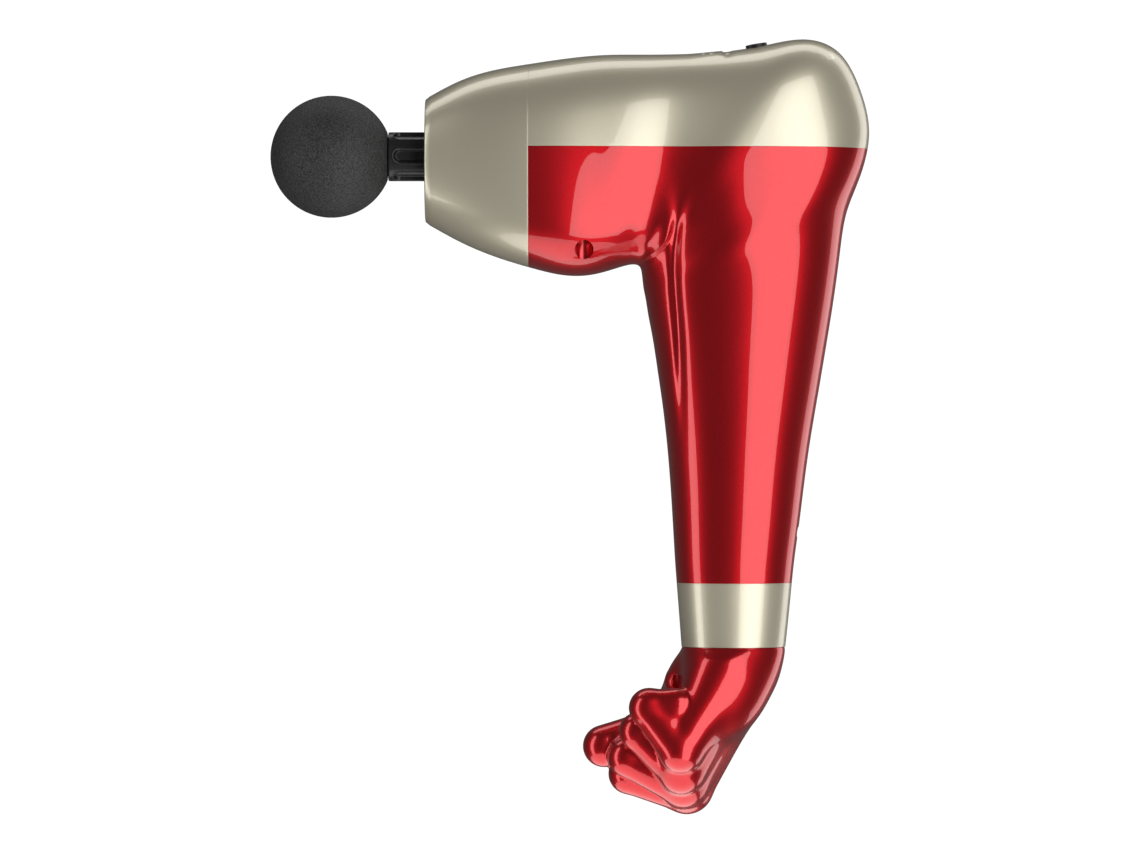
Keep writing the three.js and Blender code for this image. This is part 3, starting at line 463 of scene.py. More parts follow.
def wall_directions(bm, boundary, planes):
    """Each point's way into the wall and, for points on a cut, the way out towards the next piece."""
    on_edge = {v for e in boundary for v in e.verts}
    inward = []
    push = {}
    for v in bm.verts:
        down = -v.normal
        if v in on_edge:
            total = Vector()
            for point, direction in planes:
                if abs((v.co - point).dot(direction)) < 2 * CUT_TOLERANCE:
                    total += direction
                    down -= direction * down.dot(direction)
            push[v.index] = total
            down.normalize()
        inward.append(down)
    return inward, push


def in_face_order(edge):
    """The two ends of a boundary edge, in the order in which its one face runs."""
    order = [v.index for v in edge.link_faces[0].verts]
    a, b = edge.verts[0].index, edge.verts[1].index
    if order[(order.index(a) + 1) % len(order)] == b:
        return a, b
    return b, a


def piece_from(skin, name, cuts, wall=BODY_WALL):
    """Cuts a piece out of a skin, rounds its edges at the cuts and gives it a wall."""
    bm = skin.copy()
    planes = cut_along(bm, cuts)
    boundary = [e for e in bm.edges if e.is_boundary]
    inward, push = wall_directions(bm, boundary, planes)
    faces = [[v.index for v in f.verts] for f in bm.faces]
    points = [v.co.copy() for v in bm.verts]
    outer_count = len(points)

    steps = 3
    rims = [{i: i for i in push}]
    for step in range(1, steps + 1):
        turn = math.pi / 2 * step / steps
        rim = {}
        for i, total in push.items():
            rim[i] = len(points)
            shift = total * math.sin(turn) + inward[i] * (1 - math.cos(turn))
            points.append(points[i] + shift * EDGE_ROUND * MM)
        rims.append(rim)
    first_inner = len(points)
    for i in range(outer_count):
        shift = push[i] * EDGE_ROUND * MM if i in push else Vector()
        points.append(points[i] + shift + inward[i] * wall * MM)
    rims.append({i: first_inner + i for i in push})

    inner_faces = [[first_inner + i for i in reversed(f)] for f in faces]
    rim_faces = []
    for edge in boundary:
        a, b = in_face_order(edge)
        for near, far in zip(rims, rims[1:]):
            rim_faces.append([near[b], near[a], far[a], far[b]])
    bm.free()
    return object_from(name, [tuple(p) for p in points], faces + inner_faces + rim_faces)


# ---------------------------------------------------------------- the fist
# For each finger: its place in Y, then ball joints (x, z, radius) of the hand's bone, the knuckle,
# the folded middle joint and the tip tucked into the palm.
FINGERS = [
    (-17.0, (119, -204, 11.5), (101.8, -236.2, 8.7), (89.2, -219.8, 7.7), (100.5, -218.8, 6.3)),
    (-6.0, (121, -202, 13), (102.2, -244.8, 9.3), (85.0, -229.6, 7.4), (97.0, -226.0, 7.2)),
    (5.5, (122.5, -203, 15), (103.2, -250.6, 9.7), (80.8, -240.4, 7.7), (93.0, -233.0, 7.4)),
    (17.0, (124.5, -205, 16), (104.8, -253.2, 10.4), (81.6, -247.6, 8.0), (92.0, -238.6, 7.4)),
]
# How much of its place in Y each of a finger's four joints keeps: the hand narrows at the wrist.
FINGER_SPREAD = (0.7, 1.0, 0.92, 1.0)
# The thumb's ball joints (x, y, z, radius), and the soft pad under its tip.
THUMB = [(110.6, 6, -209, 13.7), (101, 17, -222, 9.2), (88, 18, -231.2, 8.2), (71.5, 14, -236.4, 8.5)]
THUMB_PAD = [(79, 9.5, -239.5, 5.2), (79, 9.5, -236.0, 5.0)]
# The wrist's solid, which carries the forearm on into the hand: its length, the middle and half the
# size of its section at the band, and how far each has changed at the other end. On the way it swells.
WRIST_LENGTH = 46
WRIST_CENTRE_X = 123.15
WRIST_SHIFT_X = 13.5
WRIST_HALF_X = 20.75
WRIST_THINNING = 9.5
WRIST_HALF_Y = 20.0
WRIST_SWELLING = 2.2
WRIST_NARROWING = 5
WRIST_MEAN_RADIUS = 19
WRIST_BOTTOM_Z = BAND_BOTTOM_Z - 36
# Under the band the hand's width may grow by this much for each millimetre down, until it is free.
FLARE = 0.62
FLARE_FREE = 10
# How far each join between the hand's parts is rounded.
JOIN = {
    "wrist_bottom": 16,
    "palm_bones": 9.0,
    "finger_joints": 2.0,
    "finger_flesh": 5.0,
    "between_fingers": 1.3,
    "thumb_joints": 4.0,
    "thumb_pad": 3.0,
    "thumb": 5.0,
    "screw_flesh": 3.0,
    "fingers": 2.6,
    "flare": 2.0,
}
# The box that holds the whole hand, and the size of the mesh's cells in it.
HAND_LOW = (58, -31, -268)
HAND_HIGH = (149, 32, -190)
HAND_CELL = 0.8


def limb(p, a, b):
    """Distance from points to a ball-ended cone between two balls (x, y, z, radius)."""
    start, end, r1, r2 = np.array(a[:3]), np.array(b[:3]), a[3], b[3]
    along = end - start
    length2 = along @ along
    taper = r1 - r2
    flank2 = length2 - taper * taper
    offset = p - start
    y = offset @ along
    z = y - length2
    across = offset * length2 - along * y[:, None]
    x2 = (across**2).sum(1)
    y2, z2 = y * y * length2, z * z * length2
    k = np.sign(taper) * taper * taper * x2
    past_end = np.sqrt(x2 + z2) / length2 - r2
    before_start = np.sqrt(x2 + y2) / length2 - r1
    between = (np.sqrt(x2 * flank2 / length2) + y * taper) / length2 - r1
    near_start = np.where(np.sign(y) * flank2 * y2 < k, before_start, between)
    return np.where(np.sign(z) * flank2 * z2 > k, past_end, near_start)


def blend_distances(a, b, reach):
    """The nearer of two distances, with the join between them rounded over a reach."""
    h = np.maximum(reach - np.abs(a - b), 0) / reach
    return np.minimum(a, b) - h**3 * reach / 6


def chained(p, joints, reach):
    """Distance to limbs from joint to joint, with the joins rounded over a reach."""
    limbs = [limb(p, a, b) for a, b in zip(joints, joints[1:])]
    whole = limbs[0]
    for part in limbs[1:]:
        whole = blend_distances(whole, part, reach)
    return whole


def wrist_side(p):
    """How far points lie outside the forearm's section, carried on down into the hand."""
    down = np.clip((BAND_BOTTOM_Z - p[:, 2]) / WRIST_LENGTH, -0.2, 1)
    in_hand = np.maximum(down, 0)
    centre_x = WRIST_CENTRE_X - WRIST_SHIFT_X * in_hand**1.6
    half_x = WRIST_HALF_X - WRIST_THINNING * in_hand**1.6
    swelling = WRIST_SWELLING * np.sin(math.pi * np.clip(down * 1.3, 0, 1))
    half_y = WRIST_HALF_Y + swelling - WRIST_NARROWING * in_hand**2
    u, v = (p[:, 0] - centre_x) / half_x, p[:, 1] / half_y
    turn = np.arctan2(v, u)
    square = 1 + SQUARENESS * 2 * (np.sin(turn) * np.cos(turn)) ** 2
    return (np.hypot(u, v) / square - 1) * WRIST_MEAN_RADIUS


def wrist_distance(p):
    """The solid that carries the forearm's section on into the back of the hand."""
    bottom = WRIST_BOTTOM_Z - p[:, 2]
    return -blend_distances(-wrist_side(p), -bottom, JOIN["wrist_bottom"])


def hand_distance(p):
    """Distance to the whole fist: palm, thumb, the flesh round the palm's screw, and the fingers."""
    palm = wrist_distance(p)
    fingers = None
    for y, bone, knuckle, fold, tip in FINGERS:
        bones = zip(FINGER_SPREAD, (bone, knuckle, fold, tip))
        joints = [(x, y * share, z, r) for share, (x, z, r) in bones]
        palm = blend_distances(palm, limb(p, joints[0], joints[1]), JOIN["palm_bones"])
        knuckle_x, _, knuckle_z, _ = joints[1]
        flesh = limb(p, (knuckle_x - 3, y, knuckle_z + 6, 6.0), joints[3])
        finger = blend_distances(chained(p, joints[1:], JOIN["finger_joints"]), flesh, JOIN["finger_flesh"])
        if fingers is None:
            fingers = finger
        else:
            fingers = blend_distances(fingers, finger, JOIN["between_fingers"])
    thumb = chained(p, THUMB, JOIN["thumb_joints"])
    thumb = blend_distances(thumb, limb(p, *THUMB_PAD), JOIN["thumb_pad"])
    palm = blend_distances(palm, thumb, JOIN["thumb"])
    x, z = PALM_RECESS["place"]
    screw_flesh = limb(p, (x, 1.6, z, 5.2), (x + 3, 9, z, 7.0))
    palm = blend_distances(palm, screw_flesh, JOIN["screw_flesh"])
    hand = blend_distances(palm, fingers, JOIN["fingers"])
    below = np.maximum(BAND_BOTTOM_Z - p[:, 2], 0)
    flare = FLARE * below + np.maximum(below - FLARE_FREE, 0) ** 2
    return -blend_distances(-hand, flare - wrist_side(p), JOIN["flare"])


def inside_grid(distance, low, high, step):
    """Which points of a cubic grid lie inside a shape."""
    shape = np.ceil((high - low) / step).astype(int) + 1
    axes = [low[i] + step * np.arange(shape[i]) for i in range(3)]
    points = np.stack(np.meshgrid(*axes, indexing="ij"), -1).reshape(-1, 3)
    chunks = [distance(chunk) for chunk in np.array_split(points, 12)]
    return np.concatenate(chunks).reshape(shape) < 0


def mixed_cells(inside):
    """The grid's cells with corners on both sides, and each cell's number among them, or -1."""
    cells = np.array(inside.shape) - 1
    total = np.zeros(cells, int)
    for i, j, k in np.ndindex(2, 2, 2):
        total += inside[i : i + cells[0], j : j + cells[1], k : k + cells[2]]
    mixed = np.argwhere((total > 0) & (total < 8))
    number = np.full(cells, -1)
    number[tuple(mixed.T)] = np.arange(len(mixed))
    return mixed, number


def crossing_faces(inside, number):
    """A quad round every grid edge that crosses the surface, between the four cells that share it."""
    cells = number.shape
    faces = []
    for axis in range(3):
        other = [a for a in range(3) if a != axis]
        near = [slice(None)] * 3
        far = [slice(None)] * 3
        near[axis], far[axis] = slice(0, -1), slice(1, None)
        crossing = inside[tuple(near)] != inside[tuple(far)]
        at = np.argwhere(crossing)
        at = at[(at[:, other[0]] > 0) & (at[:, other[1]] > 0)]
        at = at[(at[:, other[0]] < cells[other[0]]) & (at[:, other[1]] < cells[other[1]])]
        around = []
        for back_a, back_b in ((0, 0), (1, 0), (1, 1), (0, 1)):
            cell = at.copy()
            cell[:, other[0]] -= back_a
            cell[:, other[1]] -= back_b
            around.append(number[tuple(cell.T)])
        quad = np.stack(around, 1)
        flip = inside[tuple(at.T)] ^ (axis == 1)
        quad[~flip] = quad[~flip][:, ::-1]
        faces.append(quad)
    return np.concatenate(faces)


def pulled(points, distance, step):
    """Moves points along the distance's slope towards its zero level, by about a step at most."""
    reach = 0.05
    rises = [distance(points + d) - distance(points - d) for d in np.eye(3) * reach]
    slope = np.stack(rises, 1) / (2 * reach)
    steepness = np.maximum((slope**2).sum(1), 0.2)
    return points - slope * np.clip(distance(points) / steepness, -step, step)[:, None]


def skin_over(distance, low, high, step):
    """A closed quad mesh over the zero level of a distance, pulled onto it and evened out."""
    low, high = np.array(low, float), np.array(high, float)
    inside = inside_grid(distance, low, high, step)
    mixed, number = mixed_cells(inside)
    faces = crossing_faces(inside, number)
    points = low + (mixed + 0.5) * step
    sides = np.concatenate([faces[:, [a, (a + 1) % 4]] for a in range(4)])
    edges = np.unique(np.sort(sides, 1), axis=0)
    degree = np.bincount(edges.ravel(), minlength=len(points))[:, None]
    settlings, smoothings, share = 3, 5, 0.5
    for _ in range(settlings):
        points = pulled(points, distance, step)
    for _ in range(smoothings):
        mean = np.zeros_like(points)
        np.add.at(mean, edges[:, 0], points[edges[:, 1]])
        np.add.at(mean, edges[:, 1], points[edges[:, 0]])
        points = pulled(points + share * (mean / degree - points), distance, step)
    return pulled(points, distance, step), faces


# ---------------------------------------------------------------- shader node groups
def new_group(name, inputs, outputs):
    """A shader node group; inputs are (name, type, default), outputs are (name, type)."""
    group = bpy.data.node_groups.new(name, "ShaderNodeTree")
    for label, kind, default in inputs:
        socket = group.interface.new_socket(label, in_out="INPUT", socket_type=kind)
        socket.default_value = default
    for label, kind in outputs:
        group.interface.new_socket(label, in_out="OUTPUT", socket_type=kind)
    return group, group.nodes.new("NodeGroupInput"), group.nodes.new("NodeGroupOutput")


def math_node(nodes, links, operation, a, b=None, c=None):
    """A maths node's output; its inputs are numbers or other nodes' outputs."""
    node = nodes.new("ShaderNodeMath")
    node.operation = operation
    for socket, value in zip(node.inputs, (a, b, c)):
        if value is None:
            continue
        if isinstance(value, (int, float)):
            socket.default_value = value
        else:
            links.new(value, socket)
    return node.outputs[0]


def noise(nodes, links, vector, scale, detail=2.0, roughness=0.5):
    """A noise texture; its scale is a number or another node's output."""
    node = nodes.new("ShaderNodeTexNoise")
    node.inputs["Detail"].default_value = detail
    node.inputs["Roughness"].default_value = roughness
    links.new(vector, node.inputs["Vector"])
    if isinstance(scale, (int, float)):
        node.inputs["Scale"].default_value = scale
    else:
        links.new(scale, node.inputs["Scale"])
    return node


def mix_colours(nodes, links, share, a, b):
    """Two nodes' colours mixed by a third node's value."""
    node = nodes.new("ShaderNodeMix")
    node.data_type = "RGBA"
    for label, value in {"Factor": share, "A": a, "B": b}.items():
        links.new(value, node.inputs[label])
    return node.outputs["Result"]


def varied(nodes, links, field, spread, base):
    """A value that swings round its base with a noise field, by a share of the spread."""
    swing = math_node(nodes, links, "SUBTRACT", field.outputs["Fac"], 0.5)
    return math_node(nodes, links, "MULTIPLY_ADD", swing, spread, base)


def make_grain():
    """Fine surface grain: a colour varied between two tones, a roughness and a bumped normal."""
    group, source, out = new_group(
        "grain",
        [
            ("Colour", "NodeSocketColor", (0.5, 0.5, 0.5, 1)),
            ("Dark Colour", "NodeSocketColor", (0.4, 0.4, 0.4, 1)),
            ("Roughness", "NodeSocketFloat", 0.5),
            ("Roughness Spread", "NodeSocketFloat", 0.1),
            ("Scale", "NodeSocketFloat", 900.0),
            ("Bump", "NodeSocketFloat", 0.1),
            ("Contrast", "NodeSocketFloat", 1.5),
        ],
        [("Colour", "NodeSocketColor"), ("Roughness", "NodeSocketFloat"), ("Normal", "NodeSocketVector")],
    )
    nodes, links = group.nodes, group.links
    place = nodes.new("ShaderNodeTexCoord").outputs["Object"]
    fine = noise(nodes, links, place, source.outputs["Scale"], detail=3.0, roughness=0.6)
    broad = noise(nodes, links, place, 35.0, detail=3.0)
    speckle = math_node(nodes, links, "SUBTRACT", fine.outputs["Fac"], 0.5)
    speckle = math_node(nodes, links, "MULTIPLY_ADD", speckle, source.outputs["Contrast"], 0.3)
    share = math_node(nodes, links, "MULTIPLY_ADD", broad.outputs["Fac"], 0.4, speckle)
    share = math_node(nodes, links, "MINIMUM", math_node(nodes, links, "MAXIMUM", share, 0.0), 1.0)
    colour = mix_colours(nodes, links, share, source.outputs["Colour"], source.outputs["Dark Colour"])
    rough = varied(nodes, links, broad, source.outputs["Roughness Spread"], source.outputs["Roughness"])
    bump = nodes.new("ShaderNodeBump")
    bump.inputs["Distance"].default_value = 0.0002
    links.new(source.outputs["Bump"], bump.inputs["Strength"])
    links.new(fine.outputs["Fac"], bump.inputs["Height"])
    links.new(colour, out.inputs["Colour"])
    links.new(rough, out.inputs["Roughness"])
    links.new(bump.outputs["Normal"], out.inputs["Normal"])
    return group


def make_flakes():
    """Metal flakes under a lacquer: a sparkling colour, an uneven roughness and a tilted normal."""
    group, source, out = new_group(
        "flakes",
        [
            ("Colour", "NodeSocketColor", (0.5, 0.5, 0.5, 1)),
            ("Flake Colour", "NodeSocketColor", (0.8, 0.8, 0.8, 1)),
            ("Flake Size", "NodeSocketFloat", 9000.0),
            ("Flake Share", "NodeSocketFloat", 0.12),
            ("Roughness", "NodeSocketFloat", 0.35),
            ("Cloudiness", "NodeSocketFloat", 0.06),
        ],
        [("Colour", "NodeSocketColor"), ("Roughness", "NodeSocketFloat"), ("Normal", "NodeSocketVector")],
    )
    nodes, links = group.nodes, group.links
    place = nodes.new("ShaderNodeTexCoord").outputs["Object"]
    cells = nodes.new("ShaderNodeTexVoronoi")
    cells.inputs["Randomness"].default_value = 1.0
    links.new(place, cells.inputs["Vector"])
    links.new(source.outputs["Flake Size"], cells.inputs["Scale"])
    split = nodes.new("ShaderNodeSeparateColor")
    links.new(cells.outputs["Color"], split.inputs["Color"])
    bright = math_node(nodes, links, "LESS_THAN", split.outputs["Red"], source.outputs["Flake Share"])
    share = math_node(nodes, links, "MULTIPLY", bright, split.outputs["Green"])
    colour = mix_colours(nodes, links, share, source.outputs["Colour"], source.outputs["Flake Colour"])
    cloud = noise(nodes, links, place, 14.0, detail=4.0, roughness=0.55)
    rough = varied(nodes, links, cloud, source.outputs["Cloudiness"], source.outputs["Roughness"])
    bump = nodes.new("ShaderNodeBump")
    bump.inputs["Strength"].default_value = 0.02
    bump.inputs["Distance"].default_value = 0.0001
    links.new(split.outputs["Blue"], bump.inputs["Height"])
    links.new(colour, out.inputs["Colour"])
    links.new(rough, out.inputs["Roughness"])
    links.new(bump.outputs["Normal"], out.inputs["Normal"])
    return group


GRAIN = make_grain()
FLAKES = make_flakes()


# ---------------------------------------------------------------- materials
def new_material(name, group, group_values, shader_values):
    """A material whose colour, roughness and normal come from a group."""
    material = bpy.data.materials.new(name)
    material.use_nodes = True
    nodes, links = material.node_tree.nodes, material.node_tree.links
    shader = nodes["Principled BSDF"]
    part = nodes.new("ShaderNodeGroup")
    part.node_tree = group
    for label, value in group_values.items():
        part.inputs[label].default_value = value
    for label, value in shader_values.items():
        shader.inputs[label].default_value = value
    links.new(part.outputs["Colour"], shader.inputs["Base Color"])
    links.new(part.outputs["Roughness"], shader.inputs["Roughness"])
    links.new(part.outputs["Normal"], shader.inputs["Normal"])
    return material


def rgb(r, g, b):
    """An opaque colour."""
    return (r, g, b, 1.0)


def lacquer(name, colour, flake, roughness, metallic):
    """Metal flakes under a clear gloss coat."""
    values = {"Colour": colour, "Flake Colour": flake, "Roughness": roughness}
    coat = {"Coat Weight": 1.0, "Coat Roughness": 0.015, "Coat IOR": 1.55}
    return new_material(name, FLAKES, values, {"Metallic": metallic} | coat)


def grained(name, colour, dark, roughness, scale, bump, spread=0.1, contrast=1.5, **shader):
    """A bare surface with a fine grain of its own scale; other values go to the shader itself."""
    values = {
        "Colour": colour,
        "Dark Colour": dark,
        "Roughness": roughness,
        "Roughness Spread": spread,
        "Scale": scale,
        "Bump": bump,
        "Contrast": contrast,
    }
    return new_material(name, GRAIN, values, shader)


RED = lacquer("candy_red_lacquer", rgb(0.60, 0.003, 0.010), rgb(0.80, 0.02, 0.03), 0.34, 0.86)
GOLD = lacquer("champagne_lacquer", rgb(0.68, 0.63, 0.48), rgb(0.74, 0.70, 0.56), 0.36, 0.6)
FOAM = grained(
    "charcoal_foam", rgb(0.055, 0.055, 0.056), rgb(0.004, 0.004, 0.004),
    roughness=0.62, scale=1700.0, bump=1.0, contrast=4.0,
)
SATIN_BLACK = grained(
    "satin_black_plastic", rgb(0.024, 0.024, 0.025), rgb(0.017, 0.017, 0.018),
    roughness=0.27, scale=2500.0, bump=0.12,
)
BUTTON_BLACK = grained(
    "button_black", rgb(0.010, 0.010, 0.010), rgb(0.006, 0.006, 0.006),
    roughness=0.4, scale=2500.0, bump=0.2,
)
RUBBER = grained(
    "matt_rubber", rgb(0.018, 0.018, 0.018), rgb(0.010, 0.010, 0.010),
    roughness=0.72, scale=1800.0, bump=0.5,
)
GREY_PLASTIC = grained(
    "grey_plastic", rgb(0.19, 0.195, 0.205), rgb(0.15, 0.155, 0.165),
    roughness=0.5, scale=1600.0, bump=0.3,
)
STEEL = grained(
    "turned_steel", rgb(0.55, 0.55, 0.56), rgb(0.40, 0.40, 0.42),
    roughness=0.28, scale=700.0, bump=0.12, spread=0.2, Metallic=1.0,
)
CAST = grained(
    "cast_aluminium", rgb(0.60, 0.61, 0.63), rgb(0.45, 0.46, 0.48),
    roughness=0.45, scale=1100.0, bump=0.6, spread=0.2, Metallic=1.0,
)
BRONZE = grained(
    "sintered_bronze", rgb(0.55, 0.35, 0.15), rgb(0.36, 0.21, 0.09),
    roughness=0.4, scale=1500.0, bump=0.5, spread=0.2, Metallic=1.0,
)
COPPER = grained(
    "enamelled_copper", rgb(0.70, 0.27, 0.10), rgb(0.45, 0.14, 0.05),
    roughness=0.3, scale=900.0, bump=0.8, Metallic=1.0,
)
BOARD = grained(
    "solder_mask", rgb(0.015, 0.14, 0.05), rgb(0.01, 0.09, 0.035),
    roughness=0.35, scale=600.0, bump=0.25,
)
CELL_WRAP = grained(
    "cell_wrap", rgb(0.03, 0.16, 0.45), rgb(0.02, 0.11, 0.33),
    roughness=0.3, scale=500.0, bump=0.15,
)
LAMP = grained(
    "lamp_window", rgb(0.95, 0.95, 0.95), rgb(0.8, 0.8, 0.8),
    roughness=0.3, scale=1500.0, bump=0.1,
)
RED_WIRE = grained(
    "red_silicone", rgb(0.45, 0.015, 0.015), rgb(0.32, 0.01, 0.01),
    roughness=0.45, scale=900.0, bump=0.2,
)
BLACK_WIRE = grained(
    "black_silicone", rgb(0.02, 0.02, 0.02), rgb(0.01, 0.01, 0.01),
    roughness=0.45, scale=900.0, bump=0.2,
)

# The works inside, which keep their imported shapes.
CAD_FINISHES = {
    RUBBER: ["nose_seal"]
    + [f"isolator_{side}_{end}" for side in ("left", "right") for end in ("front", "rear")],
    STEEL: [
        "body_screw", "hand_screw", "board_screw_1", "board_screw_2", "motor_screw_1", "motor_screw_2",
        "motor_screw_3", "plunger_rod", "rotor_can", "motor_shaft", "upper_bearing", "lower_bearing",
        "crank_disc", "crank_pin", "charging_socket", "nickel_strip_top_left", "nickel_strip_top_right",
        "nickel_strip_bottom",
    ],
    CAST: ["drive_frame", "motor_base"],
    BRONZE: ["guide_sleeve", "crank_roller"],
    COPPER: ["motor_windings"],
    BOARD: ["control_board", "battery_board", "charger_board"],
    CELL_WRAP: [f"battery_cell_{number}" for number in range(1, 5)],
    GREY_PLASTIC: ["upper_cell_holder", "lower_cell_holder"],
    SATIN_BLACK: ["tact_switch"],
    RED_WIRE: ["battery_lead_red"],
    BLACK_WIRE: ["battery_lead_black", "motor_lead_a", "motor_lead_b", "motor_lead_c"],
}


def paint_cad_nodes():
    """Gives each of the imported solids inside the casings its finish."""
    for material, names in CAD_FINISHES.items():
        for name in names:
            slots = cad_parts[name].data.materials
            slots.clear()
            slots.append(material)


def finish_piece(made, material, body, slot, *nodes):
    """Paints a piece, puts it on its body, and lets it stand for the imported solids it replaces."""
    made.data.materials.clear()
    made.data.materials.append(material)
    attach(made, body)
    if nodes:
        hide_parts(*nodes)


# ---------------------------------------------------------------- casings
def rod_tool(start, end, radius, axis, centre=(0, 0, 0), sides=64):
    """A plain round bar to cut or join with."""
    return revolve("tool", [(start, 0), (start, radius), (end, radius), (end, 0)], axis, centre, sides)


def core_of(skin):
    """A closed solid a little smaller than a skin, to trim what must stay beneath the surface."""
    bm = skin.copy()
    bmesh.ops.holes_fill(bm, edges=bm.edges)
    bm.normal_update()
    shifts = [v.normal * CORE_INSET * MM for v in bm.verts]
    for v, shift in zip(bm.verts, shifts):
        v.co -= shift
    bmesh.ops.triangulate(bm, faces=[f for f in bm.faces if len(f.verts) > 4])
    return mesh_from_bmesh("core", bm)


def trimmed(made, core):
    """Keeps only what lies inside a core."""
    tool = core.copy()
    bpy.context.scene.collection.objects.link(tool)
    return boolean(made, tool, "INTERSECT")


def recess(made, core, place, seat, mouth, radius):
    """A round screw recess along Y: a cup joined to the shell, then bored out from its mouth."""
    x, z = place
    cup = rod_tool(mouth, seat + CUP_WALL, radius + CUP_WALL, "y", (x, 0, z))
    boolean(made, trimmed(cup, core), "UNION")
    outline = rounded([(mouth, 0), (mouth, radius), (seat, radius), (seat, 0)], 0.5)
    boolean(made, revolve("tool", outline, "y", (x, 0, z), 64))


def slot_tool(x_range, half_y, z_middle, half_z):
    """A round-ended bar along X, to cut the charging socket's opening."""
    sides = 48
    straight = half_y - half_z
    outline = []
    for turn in full_turn(sides):
        y = half_z * math.cos(turn) + math.copysign(straight, math.cos(turn))
        outline.append((y, z_middle + half_z * math.sin(turn)))
    points = [(x, y, z) for x in x_range for y, z in outline]
    return closed(mesh_from("tool", points, grid_faces(len(x_range), sides)))


def screw_plug(name, core, place, face, back, radius, dip):
    """A lacquered plug over a screw's head, grooved along Z and trimmed to the skin it sits in."""
    x, z = place
    outline = rounded([(face, 0), (face, radius), (back, radius), (back, 0)], 0.25)
    plug = revolve(name, outline, "y", (x, 0, z), 64)
    groove_y, reach = face - PLUG_GROOVE_RADIUS + dip, 9
    boolean(plug, rod_tool(z - reach, z + reach, PLUG_GROOVE_RADIUS, "z", (x, groove_y, 0), 96))
    trimmed(plug, core)
    finish_piece(plug, RED, "housing", "red_lacquer")
    smooth(plug)


def on_button(made):
    """Tilts a piece drawn about the Z axis so that its Z = 0 lies on the cover at the button."""
    turn = -BUTTON["tilt"]
    c, s = math.cos(turn), math.sin(turn)
    centre = to_frame(0, 0, 0)
    target = to_frame(BUTTON["x"], 0, BUTTON["z"])
    for v in made.data.vertices:
        p = v.co - centre
        v.co = target + Vector((p.x * c + p.z * s, p.y, -p.x * s + p.z * c))
    return made


def lamp_places():
    """Each lamp's place (x, y), on both sides of the middle plane."""
    return [(x, side * y) for x, y in LAMPS for side in (-1, 1)]


def make_casings():
    """The nose, the top cover, the two body halves and the wrist ring, cut from one skin."""
    skin = arm_skin()
    seam = (NOSE_SEAM_X, 0, 0)
    top = (0, 0, TOP_SEAM_Z)
    band = (0, 0, BAND_TOP_Z)
    bottom = (0, 0, BAND_BOTTOM_Z)
    behind_nose = (seam, (-1, 0, 0))
    body = [behind_nose, (top, (0, 0, 1)), (band, (0, 0, -1))]
    middle = (0, 0, 0)

    nose = piece_from(skin, "nose_casing", [(seam, (1, 0, 0))], NOSE_WALL)
    cover = piece_from(skin, "top_casing", [behind_nose, (top, (0, 0, -1))])
    left = piece_from(skin, "left_body_casing", body + [(middle, (0, 1, 0))])
    right = piece_from(skin, "right_body_casing", body + [(middle, (0, -1, 0))])
    wrist = piece_from(skin, "wrist_ring", [(band, (0, 0, 1)), (bottom, (0, 0, -1))], BAND_WALL)
    core = core_of(skin)
    skin.free()

    for half in (left, right):
        boolean(half, slot_tool(**CHARGER_SLOT))
    recess(left, core, **BARREL_RECESS)
    screw_plug("barrel_screw_plug", core, BARREL_RECESS["place"], **BARREL_PLUG)
    bpy.data.objects.remove(core)
    make_lamps(cover)
    key_hole = rod_tool(-KEY_HOLE_REACH, KEY_HOLE_REACH, BUTTON["radius"] + BUTTON["play"], "z")
    boolean(cover, on_button(key_hole))
    for x, y in lamp_places():
        boolean(cover, rod_tool(*LAMP_HOLE_Z, LAMP_HOLE_RADIUS, "z", (x, y, 0), 24))

    finish_piece(nose, GOLD, "housing", "champagne_lacquer", "nose_cap")
    finish_piece(cover, GOLD, "housing", "champagne_lacquer", "top_cover")
    finish_piece(left, RED, "housing", "red_lacquer", "left_body_shell")
    finish_piece(right, RED, "housing", "red_lacquer", "right_body_shell")
    finish_piece(wrist, GOLD, "housing", "champagne_lacquer", "wrist_band")
    for made in (nose, cover, left, right, wrist):
        smooth(made, CASING_SMOOTH)


def make_hand():
    """The fist's two halves, with the screw recess in the palm."""
    skin = skin_from(*skin_over(hand_distance, HAND_LOW, HAND_HIGH, HAND_CELL))
    top = ((0, 0, BAND_BOTTOM_Z - HAND_GAP), (0, 0, 1))
    middle = (0, HAND_SPLIT_Y, 0)
    left = piece_from(skin, "left_hand_casing", [top, (middle, (0, 1, 0))], HAND_WALL)
    right = piece_from(skin, "right_hand_casing", [top, (middle, (0, -1, 0))], HAND_WALL)
    core = core_of(skin)
    skin.free()
    recess(left, core, **PALM_RECESS)
    screw_plug("palm_screw_plug", core, PALM_RECESS["place"], **PALM_PLUG)
    bpy.data.objects.remove(core)
    finish_piece(left, RED, "housing", "red_lacquer", "left_hand_shell")
    finish_piece(right, RED, "housing", "red_lacquer", "right_hand_shell")
    for made in (left, right):
        smooth(made, CASING_SMOOTH)


